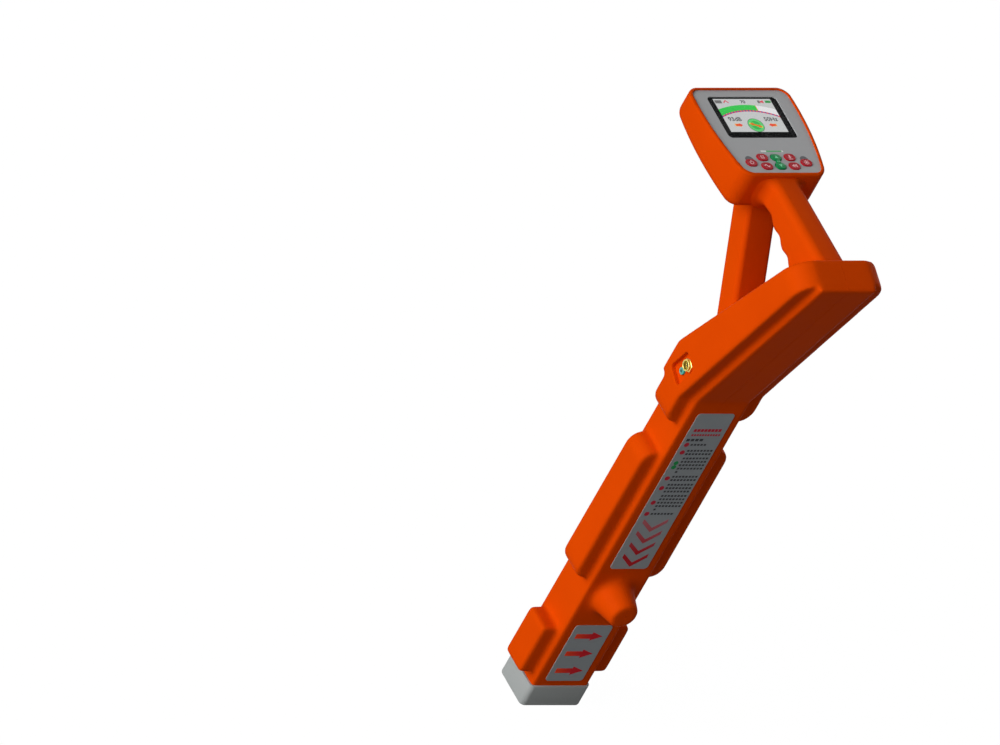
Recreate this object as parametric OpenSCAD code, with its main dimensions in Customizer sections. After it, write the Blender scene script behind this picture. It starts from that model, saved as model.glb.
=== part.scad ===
// Hand-held receiver of a cable locator: an orange wand with aerial pods on both sides, a nose,
// a battery block that leans to the user, and a grip and strut that carry the display head.
// X runs to the user's right, Y away from the user and Z up the shaft.
// The origin is the centre of the foot's underside.

/* [Shaft] */
// Width of the shaft, left to right
shaft_w = 72; // [66:1:78]
// Depth of the shaft, label face to back
shaft_d = 49; // [46:1:54]
// Radius of the long edges of the shaft, pods and block
edge_r = 5; // [3.5:0.5:6]
// Wall thickness of the orange mouldings
wall = 3; // [2.6:0.1:3.2]

/* [Foot] */
// Height of the boot over the end of the shaft
boot_h = 28.5; // [26:0.5:34]
// How far the boot stands proud of the shaft
boot_proud = 2.3; // [1:0.1:2.5]
// Wall of the boot round the shaft's spigot
boot_wall = 3.5; // [3:0.1:4]
// Thickness of the boot's sole
sole_t = 5; // [4:0.5:7]

/* [Pods] */
// How far the side pods stand out of the shaft
pod_out = 20.2; // [16:0.1:22]
// Set-back of the pods from the shaft's front and back faces
pod_inset = 6.8; // [6:0.1:8]
// Radius at the ends of the middle pods and at the foot of the block pods
pod_end_r = 18; // [14:1:19]
// Radius at the corners of the lower pods
low_pod_r = 5; // [4:0.5:8]
// Gap from the boot to the foot of the lower pods
low_pod_gap = 11.2; // [8:0.1:16]
// Length of the lower pods
low_pod_h = 65.8; // [56:0.1:70]
// Gap from the lower pods to the foot of the middle pods
mid_pod_gap = 73.2; // [66:0.1:80]
// Length of the middle pods
mid_pod_h = 185.5; // [170:0.1:190]
// Gap from the middle pods to the foot of the block pods
block_pod_gap = 43.8; // [40:0.1:56]
// Height above their foot at which the block pods widen to the back face
block_step = 40; // [34:1:46]

/* [Block] */
// Height of the front face's bend above the foot of the block pods
front_bend_up = 38; // [30:1:46]
// Height of the back face's bend above the foot of the block pods
back_bend_up = 82.4; // [76:0.1:90]
// Lean of the front face to the user, in degrees
front_lean = 18.1; // [16:0.1:20]
// Lean of the back face to the user, in degrees
back_lean = 23.6; // [22:0.1:25]
// Height of the block's back edge above the bend of its back face
block_h = 210.6; // [200:0.1:220]
// Slope of the block's top towards the user, in degrees
top_slope = 16.6; // [10:0.1:22]
// Radius from the block's sides to its top
top_r = 26; // [20:1:30]

/* [Nose] */
// Distance of the nose's middle below the foot of the middle pods
nose_drop = 17.4; // [15:0.1:24]
// Length of the nose
nose_len = 33.2; // [28:0.1:38]
// Radius of the nose at its base
nose_base_r = 24; // [22:0.5:25]
// Radius of the nose at its tip
nose_tip_r = 15.5; // [14:0.5:18]
// Fillet round the base of the nose
nose_fillet = 6; // [4:0.5:6]
// Rounding at the tip of the nose
nose_round = 3.5; // [2:0.5:4.5]

/* [Strut] */
// Width of the strut
strut_w = 38.5; // [34:0.5:42]
// Thickness of the strut, square to its length
strut_t = 31.1; // [29:0.1:34]
// Edge radius of the strut
strut_r = 6; // [4:0.5:8]
// Height above the back face's bend at which the strut's middle line meets that face
strut_foot_up = 26.7; // [24:0.1:34]
// Distance of the strut's middle behind the head's near face
strut_set = 28; // [25:0.5:31]

/* [Grip] */
// Width of the grip
grip_w = 35.6; // [32:0.1:40]
// Depth of the grip's top below the block's top
grip_drop = 9.2; // [8:0.1:12]
// Height of the grip's section at the head
grip_head_h = 32; // [30:0.5:35]
// Slope of the grip's underside, in degrees
grip_slope = 11; // [8:0.5:12]
// Edge radius of the grip
grip_r = 9; // [6:0.5:11]
// Distance between finger grooves
groove_pitch = 27; // [24:0.5:28]
// Depth of a finger groove
groove_depth = 3; // [1.5:0.1:3.5]
// Finger grooves under the grip
groove_count = 3; // [2:1:3]
// Thickness of the flanges that hold the strut and the grip in the block
root_t = 3; // [2.4:0.1:3.4]
// How far those flanges reach round the strut and the grip
root_lap = 3.5; // [2.5:0.1:4]

/* [Head] */
// Distance of the head's near face in front of the shaft's middle
head_near_y = 62; // [58:0.5:66]
// Length of the head
head_len = 131; // [130:0.5:136]
// Greatest width of the head
head_w = 131; // [128:1:138]
// Distance of the widest place from the near face
head_wide = 98; // [90:1:104]
// Radius of the bowed sides
head_side_r = 348; // [320:1:400]
// Corner radius at the near end
head_near_r = 17; // [14:1:18]
// Corner radius at the far end
head_far_r = 15; // [13:1:17]
// Depth of the head's rim below the block's top
head_drop = 5; // [4:0.5:8]
// Height of the head at its near end
head_near_h = 51; // [50:0.5:54]
// Slope of the head's underside, in degrees
head_slope = 7.4; // [6:0.1:8]
// Width of the orange rim round the face plate
rim = 4; // [3.4:0.1:4.5]
// Width of the ledge under the face plate
ledge = 3; // [2.6:0.1:3.4]

/* [Face plate] */
// Thickness of the face plate
plate_t = 2.5; // [2:0.1:3]
// Depth of the face plate below the rim
plate_drop = 1.5; // [1:0.1:2.2]
// Thickness of the gasket under the plate
gasket_t = 1; // [0.6:0.1:1.4]

/* [Display] */
// Width of the display glass
glass_w = 88.6; // [84:0.2:89]
// Height of the display glass
glass_h = 60.4; // [60:0.2:61]
// Corner radius of the glass
glass_r = 5; // [3:0.5:6]
// Distance of the glass from the head's near face
glass_set = 56.9; // [56:0.1:58]
// Thickness of the glass
glass_t = 1; // [0.8:0.1:1.2]
// Width of the picture
picture_w = 73.44; // [70:0.02:74]
// Height of the picture
picture_h = 48.96; // [46:0.02:49]
// Distance of the picture's near edge from the glass's near edge
picture_set = 9.5; // [8:0.1:10]
// Thickness of the black mask behind the glass
mask_t = 0.3; // [0.2:0.1:0.4]
// How far the mask reaches under the plate beyond the glass
mask_lap = 2.4; // [2:0.1:2.8]
// Width of the display module
lcd_w = 77; // [76:0.5:80]
// Height of the display module
lcd_h = 62; // [60:0.5:63]
// Distance of the display module from the glass's near edge
lcd_set = 0.8; // [0.4:0.1:1]
// Thickness of the display module with its backlight
lcd_t = 6.4; // [5.6:0.1:6.6]

/* [Keys] */
// Width of an oval key
key_w = 14.2; // [13:0.1:14.4]
// Length of an oval key from its near end to its far end
key_d = 10.6; // [10:0.1:10.6]
// How far a key stands above the plate
key_proud = 1.2; // [1.1:0.1:2]
// Travel of an oval key
key_travel = 0.8; // [0.5:0.1:0.9]
// Width of a key's retaining flange beyond its cap
key_flange = 0.5; // [0.4:0.05:0.5]
// Thickness of a key's flange
flange_t = 1.5; // [1.2:0.1:1.6]
// Running gap round a key in the plate
key_gap = 0.15; // [0.1:0.01:0.2]
// Gap left between a key and its switch at full travel
switch_gap = 0.2; // [0.15:0.05:0.3]
// Distance of the near key row from the head's near face
key_near = 14.6; // [14.4:0.1:15]
// Distance from the near key row to the far key row
key_rows = 12.8; // [12.8:0.1:14]
// Distance of an inner key from the middle
key_inner_x = 17.5; // [17:0.1:18]
// Distance of an end key from the middle
key_end_x = 35; // [34:0.1:36]
// Distance of the end keys from the head's near face
key_end_set = 19.5; // [18.5:0.1:20.5]
// Width of each oval end of the gain rocker
rocker_w = 12.8; // [12:0.1:13]
// Length of each oval end of the gain rocker
rocker_d = 9.4; // [9:0.1:9.5]
// Distance between the two ends of the gain rocker
rocker_span = 12.5; // [12.4:0.1:13]
// Width of the rocker's waist
rocker_waist = 5; // [4.4:0.1:5.4]
// Gap round the rocker in the plate
rocker_gap = 0.75; // [0.7:0.05:0.9]
// Radius of the rocker's trunnion
trunnion_r = 1.2; // [1:0.1:1.3]
// Running gap round the trunnion
trunnion_gap = 0.06; // [0.04:0.01:0.1]

/* [Sockets] */
// Length of the socket pocket along the block
pocket_h = 33.5; // [29:0.5:34]
// Width of the socket pocket
pocket_w = 23.5; // [20:0.5:24]
// Depth of the socket pocket
pocket_deep = 6; // [5:0.1:7]
// Height of the pocket's middle above the foot of the block pods
pocket_up = 66.5; // [64:0.5:72]
// Distance of the pocket's middle from the shaft's middle, towards the user
pocket_y = 2; // [0:0.5:4]
// Distance of the accessory socket from the pocket's middle
socket_up = 7; // [6.6:0.1:7]
// Distance of the headphone jack from the pocket's middle
jack_down = 6; // [5.5:0.1:7]
// Outer radius of the accessory socket
socket_r = 6.2; // [5.8:0.1:6.4]
// Radius of the accessory socket's bore
socket_bore_r = 4.8; // [4.4:0.1:5]
// Radius of the accessory socket's threaded tail
socket_tail_r = 5; // [4.6:0.1:5.2]
// Outer radius of the headphone jack
jack_r = 4; // [3.6:0.1:4.2]
// Radius of the headphone jack's bore
jack_bore_r = 1.8; // [1.75:0.01:1.9]
// Length of the headphone jack's bore
jack_bore_len = 14; // [12:0.5:15]

/* [Labels] */
// Width of the two grey labels
label_w = 47.4; // [44:0.2:50]
// Thickness of the labels
label_t = 0.8; // [0.5:0.1:1]
// Corner radius of the labels
label_r = 4; // [2:0.5:5]
// Gap from the boot to the arrow label
arrow_label_gap = 7.5; // [5:0.5:12]
// Gap from the arrow label to the nose's fillet
arrow_nose_gap = 13.8; // [10:0.1:18]
// Gap from the nose's fillet to the instruction label
info_nose_gap = 10.2; // [8:0.1:16]
// Gap from the instruction label to the front face's bend
bend_label_gap = 16; // [12:0.5:24]

/* [Aerials] */
// Radius of the ferrite rods
rod_r = 5; // [4.5:0.1:5.5]
// Radius of the coil windings
coil_r = 8.5; // [7.5:0.1:9]
// How far a bobbin's flanges stand out of the winding
bobbin_lip = 1.5; // [1:0.1:2]
// Length of a bobbin
bobbin_len = 40; // [34:1:44]
// Depth of the seat at each end of a rod
seat_deep = 8; // [6:0.5:10]
// Distance of the upper aerial below the top of the middle pods
upper_rod_drop = 34.2; // [26:0.5:36]
// Gap from the nose aerial's coil to the upright rod
upright_gap = 12.7; // [11:0.1:18]
// Gap from the upright rod to the main board
board_gap = 14; // [12:0.5:20]

/* [Electronics] */
// Width of the main board
board_w = 56; // [50:1:60]
// Height of the main board
board_h = 146; // [130:1:148]
// Thickness of both circuit boards
board_t = 1.6; // [1.2:0.1:2]
// Height of the posts under the main board
post_h = 6.5; // [5:0.5:7]
// Radius of a battery cell
cell_r = 9.2; // [9:0.1:9.3]
// Length of a battery cell
cell_len = 65; // [60:0.5:66]
// Number of battery cells
cell_count = 4; // [3:1:4]
// Distance between battery cells
cell_pitch = 20.5; // [20:0.1:21.5]
// Distance of the battery's middle below the block's back edge
battery_drop = 101; // [96:1:110]
// Width of the display ribbon
ribbon_w = 10; // [8:0.5:12]
// Thickness of the display ribbon
ribbon_t = 0.8; // [0.5:0.1:1]

/* [Fasteners] */
// Shank radius of the large screws
screw_r = 1.9; // [1.7:0.1:2]
// Head radius of the large screws
screw_head_r = 3.6; // [3.3:0.1:3.8]
// Head height of the large screws
screw_head_h = 2.6; // [2.2:0.1:3]
// Grip of a large screw in its boss
screw_bite = 12; // [10:0.5:14]
// Shank radius of the small screws
pin_screw_r = 1.4; // [1.2:0.1:1.5]
// Head radius of the small screws
pin_head_r = 2.5; // [2.2:0.1:2.6]
// Head height of the small screws
pin_head_h = 1.8; // [1.5:0.1:2]
// Clearance round seated and threaded pieces
fit = 0.1; // [0.05:0.01:0.15]

/* [Hidden] */
$fn = 48;

// Longer than the whole object, for cutting prisms
reach = 1000;
// Flats in each rounded corner of the long edges
edge_steps = 6;
// Extra edge radius on the leaning faces, so that they meet the upright edges cleanly at a bend
lean_ease = 0.4;
orange = [0.88, 0.29, 0.02];
pale_grey = [0.66, 0.67, 0.67];
plate_grey = [0.52, 0.52, 0.53];
key_red = [0.60, 0.06, 0.12];
key_green = [0.02, 0.43, 0.25];
ferrite = [0.16, 0.16, 0.17];
copper = [0.70, 0.36, 0.16];
board_green = [0.08, 0.34, 0.18];
screw_steel = [0.62, 0.63, 0.65];

// Heights, each from the one below it
low_pod_z = boot_h + low_pod_gap;
mid_pod_z = low_pod_z + low_pod_h + mid_pod_gap;
block_pod_z = mid_pod_z + mid_pod_h + block_pod_gap;
block_step_z = block_pod_z + block_step;
front_bend_z = block_pod_z + front_bend_up;
back_bend_z = block_pod_z + back_bend_up;
block_top_z = back_bend_z + block_h;
nose_z = mid_pod_z - nose_drop;
pocket_z = block_pod_z + pocket_up;

// Faces of the shaft, pods and block
front_y = -shaft_d / 2;
back_y = shaft_d / 2;
pod_half = shaft_w / 2 + pod_out;
inner_half = pod_half - wall;
back_top_y = back_y - (block_top_z - back_bend_z) * tan(back_lean);

// Spigot of the shaft inside the boot
spigot_in = boot_wall - boot_proud + fit;
spigot_wall = 2.6;
spigot_floor = 4;
spigot_z = sole_t + fit;
foot_boss_r = 5;
foot_boss_top = 2;
foot_boss_z = boot_h - foot_boss_top;
foot_screw_in = 15;
foot_screw_x = shaft_w / 2 - foot_screw_in;

// Head levels
head_far_y = head_near_y + head_len;
head_mid_y = head_near_y + head_wide;
side_x = head_w / 2 - head_side_r;
rim_z = block_top_z - head_drop;
plate_z = rim_z - plate_drop;
plate_under_z = plate_z - plate_t;
ledge_z = plate_under_z - gasket_t;
head_floor_z = rim_z - head_near_h;
grip_z = block_top_z - grip_drop;

// Display stack, from the glass down. It sits in a pocket under the plate
glass_z = plate_z - glass_t;
mask_z = glass_z - mask_t;
lcd_z = mask_z - lcd_t;
pad_z = lcd_z - board_t;
glass_y = head_near_y + glass_set;
picture_y = glass_y + picture_set + picture_h / 2;
pad_near = 8.5;
pad_far_gap = 2.2;
pad_post_x = 34;
pad_post_set = 50;
pad_post_r = 4;

// Plate screws: two near the front corners and two near the far corners
plate_boss_r = 3;
plate_boss_h = 4;
post_wall = 1.5;
plate_post_r = pin_head_r + 3 * fit + post_wall;
plate_near_in = 21.7;
plate_near_set = 13.2;
plate_far_in = 13.5;
plate_far_set = 13;
plate_near_x = head_w / 2 - plate_near_in;
plate_far_x = head_w / 2 - plate_far_in;
plate_screw_at = [for (sx = [-1, 1]) each [
    [sx * plate_near_x, head_near_y + plate_near_set],
    [sx * plate_far_x, head_far_y - plate_far_set]
]];
pad_gap = 0.5;
pad_half = plate_near_x - plate_post_r - pad_gap;
plate_screw_len = 6;
plate_seat_drop = 3;
plate_seat_z = plate_under_z - plate_boss_h - plate_seat_drop;

// Key levels
key_top_z = plate_z + key_proud;
flange_gap = 0.3;
flange_z = plate_under_z - flange_gap - flange_t;
stem_len = 0.3;
stem_z = flange_z - stem_len;
stem_r = 2.5;
plunger_z = stem_z - key_travel - switch_gap;
switch_w = 6;
plunger_r = 1.6;
plunger_h = 0.5;
key_places = [
    [-key_end_x, head_near_y + key_end_set],
    [-key_inner_x, head_near_y + key_near + key_rows],
    [-key_inner_x, head_near_y + key_near],
    [key_inner_x, head_near_y + key_near + key_rows],
    [key_inner_x, head_near_y + key_near],
    [key_end_x, head_near_y + key_end_set]
];
rocker_y = head_near_y + key_near + key_rows / 2;
pivot_z = stem_z;
ear_cover = 0.5;
ear_top_z = pivot_z + trunnion_r + trunnion_gap + ear_cover;
ear_gap = 1.9;
ear_in = rocker_waist / 2 + ear_gap;
ear_t = 2.4;
ear_half = 1.9;

// Socket pocket
pocket_floor_x = -pod_half + pocket_deep;
pocket_wall_x = pocket_floor_x + wall;
pocket_r = 2;
hex_lip = 0.6;
socket_flat = socket_r + hex_lip;
socket_hex_r = socket_flat / cos(30);
hex_t = 3;
nut_t = 3;
tail_len = 14;
socket_deep = 4;
insert_t = 1.6;
insert_lip = 0.5;
insert_r = socket_bore_r - insert_lip;
socket_sunk = 0.6;
socket_stand = pocket_deep - socket_sunk;
jack_sunk = 3.2;
jack_stand = pocket_deep - jack_sunk;
jack_step = 0.8;
jack_tail_r = jack_r - jack_step;
contact_r = 0.6;

// Aerials
low_rod_z = low_pod_z + low_pod_h / 2;
seat_r = rod_r + 3;
upper_rod_y = -4;
upper_rod_z = mid_pod_z + mid_pod_h - upper_rod_drop;
upright_set = 11;
upright_y = back_y - wall - upright_set;
upright_z = nose_z + coil_r + bobbin_lip + upright_gap;
nose_tip_y = front_y - nose_len;

// Boards and battery
board_z = front_bend_z - board_h;
upright_len = board_z - board_gap - upright_z;
board_back_y = back_y - wall - post_h;
board_post_r = 3.5;
board_post_in = board_post_r + 2;
board_post_x = board_w / 2 - board_post_in;
board_post_dz = board_h / 2 - board_post_in;
board_mid_z = board_z + board_h / 2;
battery_z = block_top_z - battery_drop;
battery_lean = (front_lean + back_lean) / 2;
battery_y = (front_y - (battery_z - front_bend_z) * tan(front_lean)
    + back_y - (battery_z - back_bend_z) * tan(back_lean)) / 2;
cradle_w = cell_count * cell_pitch + 4;
cradle_d = 2 * cell_r + 5;
cradle_h = cell_len + 6;
lug_d = 8;
lug_h = 14;
lug_grip = 4;

// Labels, up to the nose's fillet and on from it to the bend
arrow_label_z = boot_h + arrow_label_gap;
arrow_label_h = nose_z - nose_base_r - nose_fillet - arrow_nose_gap - arrow_label_z;
info_label_z = nose_z + nose_base_r + nose_fillet + info_nose_gap;
info_label_h = front_bend_z - bend_label_gap - info_label_z;

// Strut and ribbon
strut_y = head_near_y + strut_set;
strut_z = head_floor_z + strut_set * tan(head_slope);
strut_foot_y = back_y - strut_foot_up * tan(back_lean);
strut_foot_z = back_bend_z + strut_foot_up;
strut_lean = atan2(strut_y - strut_foot_y, strut_z - strut_foot_z);
strut_len = norm([strut_y - strut_foot_y, strut_z - strut_foot_z]) + strut_t;
root_deep = wall + fit;
neck_end = 12;
neck_x = 11;
neck_boss_z = strut_z + 9;
grip_neck_z = grip_z - grip_head_h / 2;
ribbon_slot = 2.4;
ribbon_low = 12;

// Screws through the right shell, each [y, z, half width there]
boss_r = 4.6;
head_sink = 1;
shaft_screw_y = shaft_d / 4;
shaft_screw_z = (low_pod_z + low_pod_h + mid_pod_z) / 2;
mid_screw_z = (mid_pod_z + mid_pod_h + block_pod_z) / 2;
block_screw_up = 36;
block_screw_in = 30;
top_screw_drop = 39;
shell_screw_at = [
    [-shaft_screw_y, shaft_screw_z, shaft_w / 2],
    [shaft_screw_y, shaft_screw_z, shaft_w / 2],
    [-shaft_screw_y, mid_screw_z, shaft_w / 2],
    [back_y - block_screw_up * tan(back_lean) - block_screw_in, back_bend_z + block_screw_up, pod_half],
    [back_top_y, block_top_z - top_screw_drop, pod_half]
];

// Points of an arc from angle a0 to a1
function arc(x, y, r, a0, a1, n) =
    [for (k = [0:n]) let (a = a0 + (a1 - a0) * k / n) [x + r * cos(a), y + r * sin(a)]];

function flip(points) = [for (k = [len(points) - 1:-1:0]) [-points[k][0], points[k][1]]];

// Right half of the head's outline, grown by g: bowed side with a rounded corner at each end
function head_side(g) =
    let (
        near_y = head_near_y + head_near_r,
        far_y = head_far_y - head_far_r,
        near_x = side_x + sqrt(pow(head_side_r - head_near_r, 2) - pow(near_y - head_mid_y, 2)),
        far_x = side_x + sqrt(pow(head_side_r - head_far_r, 2) - pow(far_y - head_mid_y, 2)),
        near_a = atan2(near_y - head_mid_y, near_x - side_x),
        far_a = atan2(far_y - head_mid_y, far_x - side_x)
    )
    concat(
        arc(near_x, near_y, head_near_r + g, -90, near_a, 8),
        arc(side_x, head_mid_y, head_side_r + g, near_a, far_a, 10),
        arc(far_x, far_y, head_far_r + g, far_a, 90, 8)
    );

function head_outline(g) = concat(head_side(g), flip(head_side(g)));

// A flat strip of thickness t along a path
function strip(path, t) =
    let (
        last = len(path) - 1,
        normal = [for (k = [0:last])
            let (
                a = path[max(k - 1, 0)],
                b = path[min(k + 1, last)],
                d = b - a
            ) [d[1], -d[0]] / norm(d) * t / 2]
    )
    concat([for (k = [0:last]) path[k] + normal[k]], [for (k = [last:-1:0]) path[k] - normal[k]]);

module rounded_rect(w, d, r) {
    square([w - 2 * r, d], center = true);
    square([w, d - 2 * r], center = true);
    for (sx = [-1, 1], sy = [-1, 1])
        translate([sx * (w / 2 - r), sy * (d / 2 - r)]) circle(r);
}

// The same outline with its corners in short flats, for edges that run on round a bend
module soft_rect(w, d, r) {
    x = w / 2 - r;
    y = d / 2 - r;
    polygon(concat(
        arc(x, y, r, 0, 90, edge_steps),
        arc(-x, y, r, 90, 180, edge_steps),
        arc(-x, -y, r, 180, 270, edge_steps),
        arc(x, -y, r, 270, 360, edge_steps)
    ));
}

// Prism along Y of an upright rounded window from z0 to z1
module side_window(half, z0, z1, r) {
    translate([0, 0, (z0 + z1) / 2]) rotate([90, 0, 0])
        linear_extrude(reach, center = true) soft_rect(2 * half, z1 - z0, r);
}

// Prism along X of an outline in Y and Z, centred on the middle plane
module across(w) {
    rotate([90, 0, 90]) linear_extrude(w, center = true) children();
}

// Half of the space, left (-1) or right (+1) of the middle plane
module half_space(side) {
    translate([side * reach / 2, 0, reach / 2]) cube([reach, reach, 2 * reach], center = true);
}

// Upright body whose front and back faces turn to the user at their bends
module leaning_body(half, front_in, back_in, r, base_z) {
    intersection() {
        union() {
            translate([0, front_y + front_in + reach / 2, base_z])
                linear_extrude(reach) soft_rect(2 * half, reach, r);
            translate([0, front_y, front_bend_z]) rotate([front_lean, 0, 0])
                translate([0, front_in + reach / 2, 0])
                    linear_extrude(2 * reach, center = true) soft_rect(2 * half, reach, r + lean_ease);
        }
        translate([0, back_y - back_in - reach / 2, base_z])
            linear_extrude(reach) soft_rect(2 * half, reach, r);
        translate([0, back_y, back_bend_z]) rotate([back_lean, 0, 0])
            translate([0, -back_in - reach / 2, 0])
                linear_extrude(2 * reach, center = true) soft_rect(2 * half, reach, r + lean_ease);
    }
}

// Rounded top of the block, sloping to the user
module top_prism(inset) {
    translate([0, back_top_y, block_top_z]) rotate([top_slope, 0, 0])
        translate([0, 0, -inset - reach / 2]) rotate([90, 0, 0])
            linear_extrude(reach, center = true)
                soft_rect(2 * (pod_half - inset), reach, top_r - inset);
}

// Shaft, pods and block together, shrunk by inset for the hollow inside
module body_form(inset) {
    r = edge_r - inset / 2;
    intersection() {
        top_prism(inset);
        union() {
            leaning_body(shaft_w / 2 - inset, inset, inset, r, boot_h + inset);
            intersection() {
                leaning_body(pod_half - inset, pod_inset + inset, pod_inset + inset, r, boot_h + inset);
                union() {
                    side_window(pod_half - inset, low_pod_z + inset,
                        low_pod_z + low_pod_h - inset, low_pod_r - inset / 2);
                    side_window(pod_half - inset, mid_pod_z + inset,
                        mid_pod_z + mid_pod_h - inset, pod_end_r - inset);
                    side_window(pod_half - inset, block_pod_z + inset,
                        block_top_z + 2 * pod_end_r, pod_end_r - inset);
                }
            }
            leaning_body(pod_half - inset, pod_inset + inset, inset, r, block_step_z + inset);
        }
    }
}

// Outline of the nose from its base up, to be turned about its axis
module nose_profile() {
    slant = atan((nose_base_r - nose_tip_r) / nose_len);
    foot_x = nose_base_r - tan(slant) * nose_fillet * (1 - sin(slant)) + nose_fillet * cos(slant);
    tip_y = nose_len - nose_round;
    tip_x = nose_base_r - tan(slant) * (tip_y + nose_round * sin(slant)) - nose_round * cos(slant);
    polygon(concat(
        [[0, -wall / 2], [foot_x, -wall / 2]],
        arc(foot_x, nose_fillet, nose_fillet, -90, -180 - slant, 6),
        arc(tip_x, tip_y, nose_round, slant, 90, 4),
        [[0, nose_len]]
    ));
}

module on_nose() {
    translate([0, front_y, nose_z]) rotate([90, 0, 0]) children();
}

module strut_form(inset, end) {
    translate([0, strut_y, strut_z]) rotate([-strut_lean, 0, 0])
        translate([0, 0, -strut_len])
            linear_extrude(strut_len + end)
                soft_rect(strut_w - 2 * inset, strut_t - 2 * inset, strut_r - inset / 2);
}

// Grip between the block and the head, with rounded edges and finger grooves underneath
module grip_form(inset, far_y) {
    groove_r = (pow(groove_pitch / 2, 2) + pow(groove_depth, 2)) / (2 * groove_depth);
    under_z = grip_z - grip_head_h + inset;
    near_y = back_top_y - 2 * (wall + root_t);
    difference() {
        intersection() {
            translate([0, (near_y + far_y) / 2, 0])
                cube([reach, far_y - near_y, 2 * reach], center = true);
            translate([0, 0, grip_z - inset - reach / 2]) rotate([90, 0, 0])
                linear_extrude(reach, center = true)
                    soft_rect(grip_w - 2 * inset, reach, grip_r - inset);
            translate([0, head_near_y, under_z]) rotate([grip_slope, 0, 0])
                translate([0, 0, reach / 2]) rotate([90, 0, 0])
                    linear_extrude(reach, center = true)
                        soft_rect(grip_w - 2 * inset, reach, grip_r - inset);
        }
        for (k = [0:groove_count - 1])
            translate([0, head_near_y, under_z]) rotate([grip_slope, 0, 0])
                translate([0, -groove_pitch * (k + 0.9), groove_depth - groove_r])
                    rotate([0, 90, 0]) cylinder(h = shaft_w, r = groove_r, center = true);
    }
}

// Head outside: outline grown by g, above the sloping floor raised by lift, up to top
module head_form(g, lift, top) {
    low_z = head_floor_z + lift / cos(head_slope);
    intersection() {
        linear_extrude(top) polygon(head_outline(g));
        across(2 * reach) polygon([
            [head_near_y - reach / 4, low_z - tan(head_slope) * reach / 4],
            [head_near_y + reach / 2, low_z + tan(head_slope) * reach / 2],
            [head_near_y + reach / 2, reach],
            [head_near_y - reach / 4, reach]
        ]);
    }
}

// Everything outside a plane at that depth inside the block's leaning back face
module beyond_back(depth) {
    translate([0, back_y, back_bend_z]) rotate([back_lean, 0, 0])
        translate([0, reach / 2 - depth, 0]) cube([reach, reach, 2 * reach], center = true);
}

// Opening in the block's back wall for a bar
module back_opening() {
    intersection() {
        children();
        beyond_back(root_deep);
    }
}

// A bar out of the block's back, with a flange inside the wall: first the bar, then its grown form
module rooted_bar() {
    intersection() {
        children(0);
        beyond_back(root_deep + root_t);
    }
    difference() {
        intersection() {
            children(1);
            beyond_back(root_deep + root_t);
        }
        beyond_back(root_deep);
    }
}

// Places children at a point of the socket pocket, with Z turned out of the pod face
module at_pocket(up, x) {
    translate([0, -pocket_y, pocket_z]) rotate([front_lean, 0, 0])
        translate([-x, 0, up]) rotate([0, -90, 0]) children();
}

module on_battery() {
    translate([0, battery_y, battery_z]) rotate([battery_lean, 0, 0]) children();
}

module rod_along_x(z, y, len, r) {
    translate([0, y, z]) rotate([0, 90, 0]) cylinder(h = len, r = r, center = true);
}

// Bosses, seats and posts inside the shell, in one piece with its walls
module shell_inside() {
    root = wall / 2;
    for (s = shell_screw_at)
        translate([0, s[0], s[1]]) rotate([0, 90, 0])
            cylinder(h = 2 * (s[2] - root), r = boss_r, center = true);
    for (sx = [-1, 1], p = [[0, low_rod_z], [upper_rod_y, upper_rod_z]])
        translate([sx * (inner_half - seat_deep), p[0], p[1]]) rotate([0, sx * 90, 0])
            cylinder(h = seat_deep + root, r = seat_r);
    for (z = [upright_z - seat_deep / 2, upright_z + upright_len - seat_deep / 2])
        translate([-seat_r, upright_y - seat_r, z])
            cube([2 * seat_r, back_y - root - upright_y + seat_r, seat_deep]);
    translate([0, back_y - root, nose_z]) rotate([90, 0, 0])
        cylinder(h = seat_deep + wall - root, r = seat_r);
    translate([0, nose_tip_y + root, nose_z]) rotate([-90, 0, 0])
        cylinder(h = seat_deep + wall - root, r = seat_r);
    for (sx = [-1, 1], sz = [-1, 1])
        translate([sx * board_post_x, back_y - root, board_mid_z + sz * board_post_dz]) rotate([90, 0, 0])
            cylinder(h = post_h + wall - root, r = board_post_r);
    on_battery() for (sx = [-1, 1])
        translate([sx * (inner_half - lug_grip / 2 + root / 2), 0, 0])
            cube([lug_grip + root, lug_d + 2 * wall, lug_h + 2 * wall], center = true);
    for (sx = [-1, 1])
        translate([sx * foot_screw_x, 0, spigot_z]) cylinder(h = foot_boss_z - spigot_z, r = foot_boss_r);
}

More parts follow.
